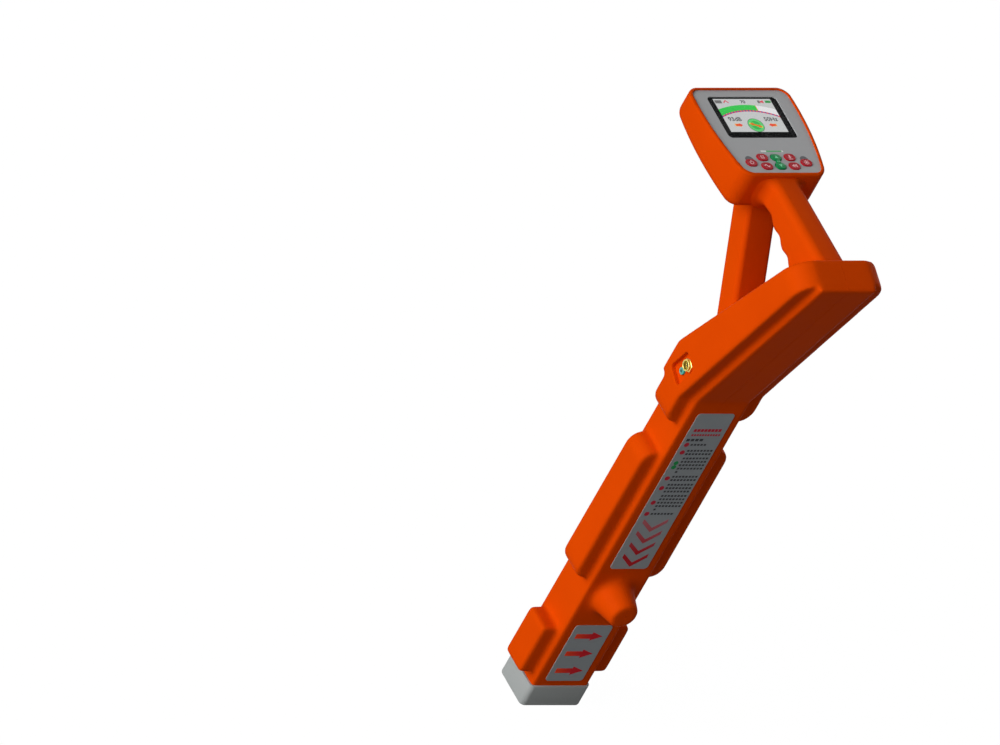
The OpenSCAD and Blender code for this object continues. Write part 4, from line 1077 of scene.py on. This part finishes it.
PEAK_LINE = [
    (-0.0250, -0.0014), (-0.0232, 0.0002), (-0.0216, 0.0018), (-0.0200, -0.0002),
    (-0.0186, -0.0014),
]
PEAK_W = 0.0012
HORN = [
    (0.0222, -0.0012), (0.0240, -0.0012), (0.0262, -0.0024), (0.0262, 0.0024),
    (0.0240, 0.0012), (0.0222, 0.0012),
]
picture_inks = [
    ("screen_ground", 0, srgb(206, 208, 208), [box_of(0, 0, PICTURE_W, PICTURE_H)]),
    ("screen_gauge", 1, srgb(18, 206, 66), [
        gauge_band(GAUGE_OUT, GAUGE_IN, -half_w, GAUGE_FULL)]),
    ("screen_gauge_rest", 1, srgb(240, 240, 242), [
        gauge_band(GAUGE_OUT, GAUGE_IN, GAUGE_REST, half_w)]),
    ("screen_gauge_edge", 1, srgb(250, 150, 30), [
        gauge_band(GAUGE_OUT, GAUGE_IN, GAUGE_FULL, GAUGE_REST, 2)]),
    ("screen_ticks_violet", 2, srgb(120, 50, 150), ticks[0::2]),
    ("screen_ticks_red", 2, srgb(235, 70, 90), ticks[1::2]),
    ("screen_compass_edge", 1, srgb(60, 90, 70), [
        ring_of(*COMPASS, COMPASS_R, COMPASS_STEPS)]),
    ("screen_compass", 2, srgb(86, 214, 112), [
        ring_of(*COMPASS, COMPASS_R - COMPASS_EDGE, COMPASS_STEPS)]),
    ("screen_compass_core", 3, srgb(30, 186, 74), [
        ring_of(*COMPASS, COMPASS_R * COMPASS_CORE, COMPASS_STEPS)]),
    ("screen_needle_edge", 4, srgb(250, 220, 40), needle(NEEDLE_EDGE)),
    ("screen_needle", 5, srgb(236, 40, 36), needle(NEEDLE)),
    ("screen_arrow_edges", 1, srgb(252, 166, 40), pointers(POINTER_EDGE_U, POINTER_EDGE)),
    ("screen_arrows", 2, srgb(240, 36, 30), pointers(POINTER_U, POINTER)),
    ("screen_icon_plates", 1, srgb(110, 108, 108), [
        box_of(-0.0312, ICON_V, 0.0086, 0.0046), box_of(0.0204, ICON_V, 0.0030, 0.0040)]),
    ("screen_icons_red", 2, srgb(230, 50, 70), [
        stroke(raised(PEAK_LINE), PEAK_W), raised(HORN)]),
    ("screen_icon_cell", 2, srgb(20, 150, 62), [
        box_of(0.0318, ICON_V, 0.0066, 0.0036), box_of(0.0356, ICON_V, 0.0010, 0.0018)]),
]
for name, layer, colour, shapes in picture_inks:
    printed(name, shapes, screen(layer), FILM, lit_ink(name, colour))

READING_BOLD = 0.00015
READING_LAYER = 2
READINGS = [
    ("screen_level", "70", 0.0, 0.0181, 0.0062),
    ("screen_strength", "93dB", -0.0229, -0.0080, 0.0080),
    ("screen_hertz", "50Hz", 0.0229, -0.0080, 0.0080),
]
reading_ink = lit_ink("screen_readings_ink", srgb(48, 50, 54))
for name, words, u, v, size in READINGS:
    bpy.ops.object.select_all(action="DESELECT")
    bpy.ops.object.text_add()
    reading = bpy.context.object
    reading.name = name
    reading.data.body = words
    reading.data.align_x = "CENTER"
    reading.data.size = size
    reading.data.extrude = FILM.z / 2
    reading.data.offset = READING_BOLD
    bpy.ops.object.convert(target="MESH")
    reading = bpy.context.object
    reading.location = screen(READING_LAYER)(u, v)
    bpy.ops.object.transform_apply()
    hand_over(reading, reading_ink, None, "body")

black_mask, shader, place = new_finish("black_mask", {"Specular IOR Level": 0.04})
dust = noise(place, 0.0012, 3.0)
feed(shader, "Base Color", blend(dust, srgb(3, 3, 4), srgb(10, 10, 11)))
feed(shader, "Roughness", 0.45 + 0.15 * dust)
dress(black_mask, "display_mask", "lcd_module")

clear_glass, shader, place = new_finish("clear_glass", {
    "Base Color": srgb(120, 126, 130), "Alpha": 0.03, "Specular IOR Level": 0.08,
})
smear = noise(place, 0.018, 3.0)
feed(shader, "Roughness", 0.03 + 0.10 * smear)
dress(clear_glass, "display_window")


# Face plate: a grey satin panel that closes the head over a black seal. It has the display's
# opening, oval holes for the keys, a thin printed rule and a dark crescent by each end key.
black_seal = moulded(
    "black_seal", srgb(26, 26, 28), srgb(18, 18, 20),
    roughness=0.7, grain=0.0006, relief=0.3, specular=0.3)
dress(black_seal, "head_gasket")
grey_plate = moulded(
    "grey_plate", srgb(188, 189, 190), srgb(180, 181, 183),
    roughness=0.5, grain=0.0004, relief=0.25, specular=0.12)
dress(grey_plate, "face_plate")
PLATE_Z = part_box("face_plate")[1].z
PRINT = Vector((0, 0, 0.00008))


def on_plate(u, v):
    """Sets flat corners on the face plate."""
    return (u, v, PLATE_Z)


def ink(name, colour, deep, fade=None):
    """Matt printing ink with a faint uneven lay, or one that fades between (axis, start, end)."""
    material, shader, place = new_finish(name, {"Specular IOR Level": 0.15})
    lay = share = noise(place, 0.0015, 3.0)
    if fade:
        axis, start, end = fade
        along = place.node("SeparateXYZ", {}, {"Vector": place}, out="XYZ".index(axis))
        span = {"Value": along, "From Min": start, "From Max": end}
        share = along.node("MapRange", {}, span)
    feed(shader, "Base Color", blend(share, deep, colour))
    feed(shader, "Roughness", 0.5 + 0.2 * lay)
    return material


RULE_Y = 0.0988
white_ink = ink("white_ink", srgb(250, 252, 250), srgb(236, 240, 236))
green_ink = ink("green_ink", srgb(104, 208, 128), srgb(86, 190, 112))
rule_ends = [box_of(-0.0112, RULE_Y, 0.0066, 0.0024), box_of(0.0128, RULE_Y, 0.0022, 0.0022)]
rule_middle = box_of(0.0018, RULE_Y, 0.0194, 0.0016)
printed("rule_ends", rule_ends, on_plate, PRINT, white_ink)
printed("rule_middle", [rule_middle], on_plate, PRINT, green_ink)

KEYS = ("power_key", "mode_key", "frequency_key", "depth_key", "sound_key", "light_key")
key_boxes = {name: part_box(name) for name in KEYS}
key_spots = {name: (low + high) / 2 for name, (low, high) in key_boxes.items()}
CRESCENT_W = 0.0066
CRESCENT_IN = 0.0058
CRESCENT_OUT = 0.0102
crescent_turns = spaced(math.radians(40), math.radians(140), 16)


def crescent(spot):
    """A crescent over the far side of a key, between two flattened arcs."""
    outer, inner = (
        [(spot.x + CRESCENT_W * math.cos(t), spot.y + deep * math.sin(t)) for t in crescent_turns]
        for deep in (CRESCENT_OUT, CRESCENT_IN)
    )
    return outer + inner[::-1]


slate_ink = ink("slate_ink", srgb(120, 120, 124), srgb(92, 92, 96))
crescents = [crescent(key_spots[name]) for name in ("power_key", "light_key")]
printed("key_crescents", crescents, on_plate, PRINT, slate_ink)


# Keys: six oval caps of red silicone-coated plastic with a flange under the plate.
# Each slides in its own hole on to a switch, and has a pale printed mark.
KEY_W = 0.0142
KEY_D = 0.0106
KEY_FLANGE = 0.0005
KEY_FLANGE_T = 0.0015
KEY_STEM_IN = -0.0028
KEY_STEM_LEN = 0.0003
KEY_ROUND = 0.0010
KEY_DISH = 0.0002
KEY_CORNER_STEPS = 15
red_key = moulded(
    "red_key", srgb(190, 14, 36), srgb(168, 10, 28),
    roughness=0.38, grain=0.0004, relief=0.2, specular=0.12)
mark_ink = ink("mark_ink", srgb(255, 214, 214), srgb(252, 176, 186))

STROKE = 0.0011
WAVE_W = 0.0064
WAVE_H = 0.0015
power_turns = spaced(math.radians(130), math.radians(410), 14)
wave_line = [
    (WAVE_W * (share - 0.5), WAVE_H * math.sin(math.tau * share)) for share in spaced(0, 1, 16)]
key_marks = {
    "power_key": [
        stroke([(0, 0.0006), (0, 0.0032)], STROKE),
        arc_of(0, 0, 0.0026, power_turns) + arc_of(0, 0, 0.0018, power_turns[::-1]),
    ],
    "mode_key": [
        box_of(u, v, 0.0017, 0.0017) for u in (-0.0013, 0.0013) for v in (-0.0013, 0.0013)],
    "frequency_key": [stroke(wave_line, STROKE)],
    "depth_key": [
        arrow(0, 0.0004, 0.0050, 0.0024, 0.0042, 0.0013, -math.pi / 2),
        box_of(0, -0.0032, 0.0048, STROKE),
    ],
    "sound_key": [
        [(-0.0030, -0.0010), (-0.0018, -0.0010), (-0.0002, -0.0024),
         (-0.0002, 0.0024), (-0.0018, 0.0010), (-0.0030, 0.0010)],
        box_of(0.0010, 0, STROKE, 0.0028),
        box_of(0.0026, 0, STROKE, 0.0044),
    ],
    "light_key": [ring_of(0, 0, 0.0014)] + [
        swung(stroke([(0.0021, 0), (0.0032, 0)], STROKE), math.tau * k / 8) for k in range(8)],
}
key_foot, key_top = (corner.z for corner in key_boxes["power_key"])
cap_high = key_top - key_foot
flange_top = KEY_STEM_LEN + KEY_FLANGE_T
cap_rings = [
    (0, KEY_STEM_IN), (KEY_STEM_LEN, KEY_STEM_IN), (KEY_STEM_LEN, KEY_FLANGE),
    (flange_top, KEY_FLANGE), (flange_top, 0),
]
cap_rings += [
    (cap_high - down, -inset) for down, inset in quarter_round(KEY_ROUND, ROUND_STEPS)]
cap_rings += [(cap_high - KEY_DISH, -KEY_D * share) for share in (0.24, 0.48)]


def cap_place(along, round_share):
    """A point of a key cap's skin."""
    up, grow = row_at(cap_rings, along)
    half_d = KEY_D / 2 + grow
    (x, y), _ = round_rect(round_share, KEY_W / 2 + grow, half_d, half_d, KEY_CORNER_STEPS)
    return (x, y, up)


cap = tube("key_cap", 4 * KEY_CORNER_STEPS, len(cap_rings), cap_place)
smooth(cap)
mark_z = key_top - KEY_DISH - PRINT.z / 2
for name, spot in key_spots.items():
    key = copy_of(cap, name.replace("key", "cap"))
    key.location = (spot.x, spot.y, key_foot)
    bpy.ops.object.transform_apply()
    hand_over(key, red_key, "red_key", name, name)
    printed(
        name.replace("key", "mark"), key_marks[name],
        lambda u, v: (spot.x + u, spot.y + v, mark_z), PRINT * 2, mark_ink, name)
bpy.data.objects.remove(cap)


# Gain rocker: one green two-ended key that tips about a trunnion between the saddle's ears.
# Its oval ends have pale arrow heads, up and down.
rocker_low, rocker_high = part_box("gain_rocker")
ROCKER_W = 0.0128
ROCKER_D = 0.0094
ROCKER_WAIST = 0.005
ROCKER_ROUND = 0.0011
ROCKER_STEM = 0.0012
TRUNNION_R = 0.0012
TRUNNION_EASE = 0.0002
rocker_middle = (rocker_low + rocker_high) / 2
rocker_reach = (rocker_high.y - rocker_low.y - ROCKER_D) / 2
lobe_r, lobe_x = ROCKER_D / 2, (ROCKER_W - ROCKER_D) / 2
waist_turn = math.acos((ROCKER_WAIST / 2 - lobe_x) / lobe_r)
right_end = arc_of(lobe_x, rocker_reach, lobe_r, spaced(-waist_turn, math.pi / 2, 18))
end_shape = right_end + [(-u, v) for u, v in reversed(right_end)]
rocker_shape = end_shape + [(-u, -v) for u, v in end_shape]
rocker_floor = rocker_low.z + ROCKER_STEM
rocker = slab(
    "rocker", [(u, rocker_middle.y + v, rocker_floor) for u, v in rocker_shape],
    (0, 0, rocker_high.z - rocker_floor))
round_edges(
    rocker, lambda middle, way: middle.z > rocker_high.z - TOUCH, ROCKER_ROUND, steps=5)
trunnion_len = rocker_high.x - rocker_low.x
trunnion = turned(
    "trunnion", Vector((rocker_low.x, rocker_middle.y, rocker_low.z + TRUNNION_R)), RIGHT, [
        (0, TRUNNION_R - TRUNNION_EASE),
        (TRUNNION_EASE, TRUNNION_R),
        (trunnion_len - TRUNNION_EASE, TRUNNION_R),
        (trunnion_len, TRUNNION_R - TRUNNION_EASE),
    ], sides=32)
carve(rocker, trunnion, "UNION")
smooth(rocker)
green_key = moulded(
    "green_key", srgb(4, 146, 80), srgb(2, 128, 68),
    roughness=0.38, grain=0.0004, relief=0.2, specular=0.12)
hand_over(rocker, green_key, "green_key", "gain_rocker", "gain_rocker")
pale_green = ink("pale_green_ink", srgb(150, 246, 190), srgb(120, 226, 168))
rocker_marks = [
    [(-0.0023, side * 0.0046), (0.0023, side * 0.0046), (0, side * 0.0084)] for side in (-1, 1)]
rocker_marks += [box_of(side * 0.0013, 0, 0.0014, 0.0012) for side in (-1, 1)]
printed(
    "rocker_marks", rocker_marks,
    lambda u, v: (u, rocker_middle.y + v, rocker_high.z - PRINT.z / 2),
    PRINT, pale_green, "gain_rocker")


# Labels: two grey plastic labels bonded to the shaft's front. The upper one has rows of plain
# marks with a dot to each group and red chevrons that point down, the lower one red arrows.
grey_label = moulded(
    "grey_label", srgb(168, 172, 174), srgb(150, 156, 160),
    roughness=0.5, grain=0.0005, relief=0.2, specular=0.02)
dress(grey_label, "instruction_label", "arrow_label")
LABEL_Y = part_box("arrow_label")[0].y
LABEL_PRINT = Vector((0, -0.0001, 0))


def on_label(u, v):
    """Sets flat corners on the labels' front."""
    return (u, LABEL_Y, v)


ARROW = (0.0346, 0.0145, 0.0122, 0.0068)
ARROW_ZS = (0.0511, 0.0762, 0.1017)
arrow_ink = ink("arrow_ink", srgb(206, 12, 30), srgb(250, 66, 24), ("X", -0.016, 0.004))
arrows = [arrow(0, z, *ARROW) for z in ARROW_ZS]
printed("label_arrows", arrows, on_label, LABEL_PRINT, arrow_ink)

CHEVRON_HALF = 0.0157
CHEVRON_H = 0.0135
CHEVRON_T = 0.0062
CHEVRON_END_T = 0.9 * CHEVRON_T
CHEVRON_FIRST = 0.2047
CHEVRON_PITCH = 0.0171
chevron = [
    (-CHEVRON_HALF, CHEVRON_H), (0, 0), (CHEVRON_HALF, CHEVRON_H),
    (CHEVRON_HALF, CHEVRON_H + CHEVRON_END_T), (0, CHEVRON_T),
    (-CHEVRON_HALF, CHEVRON_H + CHEVRON_END_T),
]
chevrons = [
    [(u, CHEVRON_FIRST + CHEVRON_PITCH * k + v) for u, v in chevron] for k in range(4)]
chevron_ink = ink("chevron_ink", srgb(190, 104, 112), srgb(176, 4, 20), ("Z", 0.226, 0.278))
printed("label_chevrons", chevrons, on_label, LABEL_PRINT, chevron_ink)

MARK_LEFT = -0.0115
MARK_W = 0.0028
MARK_H = 0.0026
MARK_PITCH = 0.0042
FULL_LINES = 4
LINE_PITCH = 0.0050
DOT_X = -0.0167
DOT_R = 0.0030
ROCKER_DOT_R = 0.0029
ROCKER_GROUP_Z = 0.3547
# Each group of lines is its middle height, the marks in a line, and how many lines it has
MARK_GROUPS = [
    (0.3848, 5, 1), (0.3735, 8, 2), (ROCKER_GROUP_Z, 8, 5), (0.3352, 8, 2), (0.3208, 8, 3),
    (0.2993, 8, 5), (0.2828, 7, 1),
]
dark_ink = ink("dark_ink", srgb(44, 44, 48), srgb(28, 28, 32))
red_ink = ink("red_ink", srgb(196, 22, 50), srgb(176, 14, 40))
label_green = ink("label_green_ink", srgb(6, 140, 70), srgb(4, 120, 58))


def mark_row(name, left, z, width, height, pitch, count):
    """A row of even plain marks: one mark, repeated to the right."""
    corners = box_of(left + width / 2, z, width, height)
    row = slab(name, [on_label(u, v) for u, v in corners], LABEL_PRINT)
    modify(
        row, "ARRAY", count=count, use_relative_offset=False, use_constant_offset=True,
        constant_offset_displace=(pitch, 0, 0))
    return row


rows = []
for z, count, lines in MARK_GROUPS:
    for line in range(lines):
        line_z = z + LINE_PITCH * ((lines - 1) / 2 - line)
        marks = count if line < FULL_LINES else 1
        rows.append(mark_row(
            "label_marks", MARK_LEFT, line_z, MARK_W, MARK_H, MARK_PITCH, marks))
rows.append(mark_row("label_marks_top", -0.0203, 0.3918, 0.0042, 0.0036, 0.0056, 4))
hand_over(join(rows), dark_ink, None, "body")
title = join([
    mark_row("label_title", -0.0178, 0.4059, 0.0036, 0.0040, 0.0045, 8),
    mark_row("label_subtitle", -0.0176, 0.3991, 0.0024, 0.0026, 0.0034, 11),
])
hand_over(title, red_ink, None, "body")
dots = [ring_of(DOT_X, z, DOT_R) for z, _, _ in MARK_GROUPS if z != ROCKER_GROUP_Z]
printed("label_dots", dots, on_label, LABEL_PRINT, red_ink)
rocker_dots = [ring_of(DOT_X, ROCKER_GROUP_Z + side * DOT_R, ROCKER_DOT_R) for side in (-1, 1)]
printed("label_rocker_dot", rocker_dots, on_label, LABEL_PRINT, label_green)


# Accessory socket: a gold-plated brass socket with a six-sided flange, held in the pocket's
# floor by a nut inside. Its threaded barrel takes a plug's ring, and an ivory insert holds pins.
OUT = Vector((-1, 0, 0))
SOCKET_R = 0.0062
SOCKET_BORE_R = 0.0048
SOCKET_SUNK = 0.0006
SOCKET_STAND = POCKET_DEEP - SOCKET_SUNK
SOCKET_DEEP = 0.004
INSERT_T = 0.0016
INSERT_R = 0.0043
INSERT_GAP = 0.0001
HEX_PROUD = 0.0006
HEX_R = (SOCKET_R + HEX_PROUD) / math.cos(math.pi / 6)
HEX_T = 0.003
HEX_EASE = 0.0003
TAIL_LEN = 0.014
RING_PITCH = 0.0008
RING_DEEP = 0.0003
RINGS = 2
LIP_EASE = 0.0002
insert_face = SOCKET_STAND - SOCKET_DEEP
barrel = [(-TAIL_LEN, SOCKET_TAIL_R), (HEX_T / 2, SOCKET_TAIL_R), (HEX_T / 2, SOCKET_R)]
barrel += [
    (HEX_T + RING_PITCH * (k + share), SOCKET_R - sunk)
    for k in range(RINGS)
    for share, sunk in ((0.1, 0), (0.5, 0), (0.6, RING_DEEP), (1.0, RING_DEEP))
]
barrel += [
    (SOCKET_STAND - RING_PITCH, SOCKET_R),
    (SOCKET_STAND - LIP_EASE, SOCKET_R),
    (SOCKET_STAND, SOCKET_R - RING_DEEP),
    (SOCKET_STAND, SOCKET_BORE_R + LIP_EASE),
    (SOCKET_STAND - LIP_EASE, SOCKET_BORE_R),
    (insert_face, SOCKET_BORE_R),
    (insert_face, INSERT_R + INSERT_GAP),
    (insert_face - INSERT_T, INSERT_R + INSERT_GAP),
]
socket = turned("socket", socket_spot, OUT, barrel, sides=56)
flange = turned("flange", socket_spot, OUT, [
    (0, HEX_R - HEX_EASE), (HEX_EASE, HEX_R), (HEX_T - 0.0004, HEX_R), (HEX_T, HEX_R - HEX_PROUD),
], sides=6)
bore_core = [(-NEAR, SOCKET_TAIL_R), (HEX_T + NEAR, SOCKET_TAIL_R)]
carve(flange, turned("bore_core", socket_spot, OUT, bore_core, sides=40))
socket = join([socket, flange])
smooth(socket)
gold_plate, shader, place = new_finish("gold_plate", {"Metallic": 1.0})
tarnish = noise(place, 0.0012, 4.0)
feed(shader, "Base Color", blend(tarnish, srgb(206, 184, 84), srgb(250, 234, 142)))
feed(shader, "Roughness", 0.2 + 0.16 * tarnish)
hand_over(socket, gold_plate, "gold_plate", "body", "accessory_socket")
dress(gold_plate, "socket_nut")

ivory = moulded(
    "ivory_insert", srgb(96, 86, 64), srgb(78, 70, 52),
    roughness=0.45, grain=0.0004, relief=0.2, specular=0.4)
dress(ivory, "socket_insert")
PINS = 4
PIN_R = 0.0005
PIN_LEN = 0.0024
PIN_RING = INSERT_R / 2
PIN_ROOT = INSERT_T * 0.6
pin = [(0, PIN_R), (PIN_LEN - 0.0003, PIN_R), (PIN_LEN, PIN_R / 2)]
pins = []
for k in range(PINS):
    angle = math.tau * (k + 0.5) / PINS
    off = PIN_RING * (math.cos(angle) * lean_up + math.sin(angle) * lean_up.cross(OUT))
    foot = socket_spot + (insert_face - PIN_ROOT) * OUT + off
    pins.append(turned("socket_pins", foot, OUT, pin, sides=16))
contacts = join(pins)
smooth(contacts)
hand_over(contacts, gold_plate, "gold_plate", "body")


# Headphone jack: a small blue-green plastic jack below the socket, with a bright metal mouth
# ring. It is pressed through the pocket's floor.
JACK_R = 0.004
JACK_BORE_R = 0.0018
JACK_BORE_LEN = 0.014
JACK_SUNK = 0.0032
JACK_STAND = POCKET_DEEP - JACK_SUNK
JACK_ROUND = 0.0006
MOUTH_SEAT = 0.0004
MOUTH_R = JACK_BORE_R + 0.0005
MOUTH_TOP = JACK_STAND + 0.0002
MOUTH_BORE_LEN = 0.01
jack_profile = [(-TAIL_LEN, JACK_TAIL_R), (TOUCH, JACK_TAIL_R), (TOUCH, JACK_R)]
jack_profile += [
    (JACK_STAND - down, JACK_R - inset) for down, inset in quarter_round(JACK_ROUND, ROUND_STEPS)]
jack_profile += [
    (JACK_STAND, JACK_BORE_R + 0.0007),
    (JACK_STAND - MOUTH_SEAT, JACK_BORE_R + 0.0006),
    (JACK_STAND - MOUTH_SEAT, JACK_BORE_R),
    (JACK_STAND - JACK_BORE_LEN, JACK_BORE_R),
]
jack = turned("jack", jack_spot, OUT, jack_profile, sides=48)
smooth(jack)
jack_plastic = moulded(
    "jack_plastic", srgb(58, 186, 168), srgb(40, 164, 148),
    roughness=0.32, grain=0.0005, relief=0.15, specular=0.4)
hand_over(jack, jack_plastic, "green_jack", "body", "headphone_jack")
mouth = turned("jack_mouth", jack_spot, OUT, [
    (JACK_STAND - MOUTH_SEAT, MOUTH_R),
    (MOUTH_TOP, MOUTH_R),
    (MOUTH_TOP, JACK_BORE_R + 0.0001),
    (JACK_STAND - 0.0003, JACK_BORE_R),
], sides=40)
mouth_bore = [(0, JACK_BORE_R), (MOUTH_BORE_LEN, JACK_BORE_R)]
carve(mouth, turned("mouth_bore", jack_spot, OUT, mouth_bore, sides=40))
smooth(mouth)
hand_over(mouth, screw_steel, "screw_steel", "body")
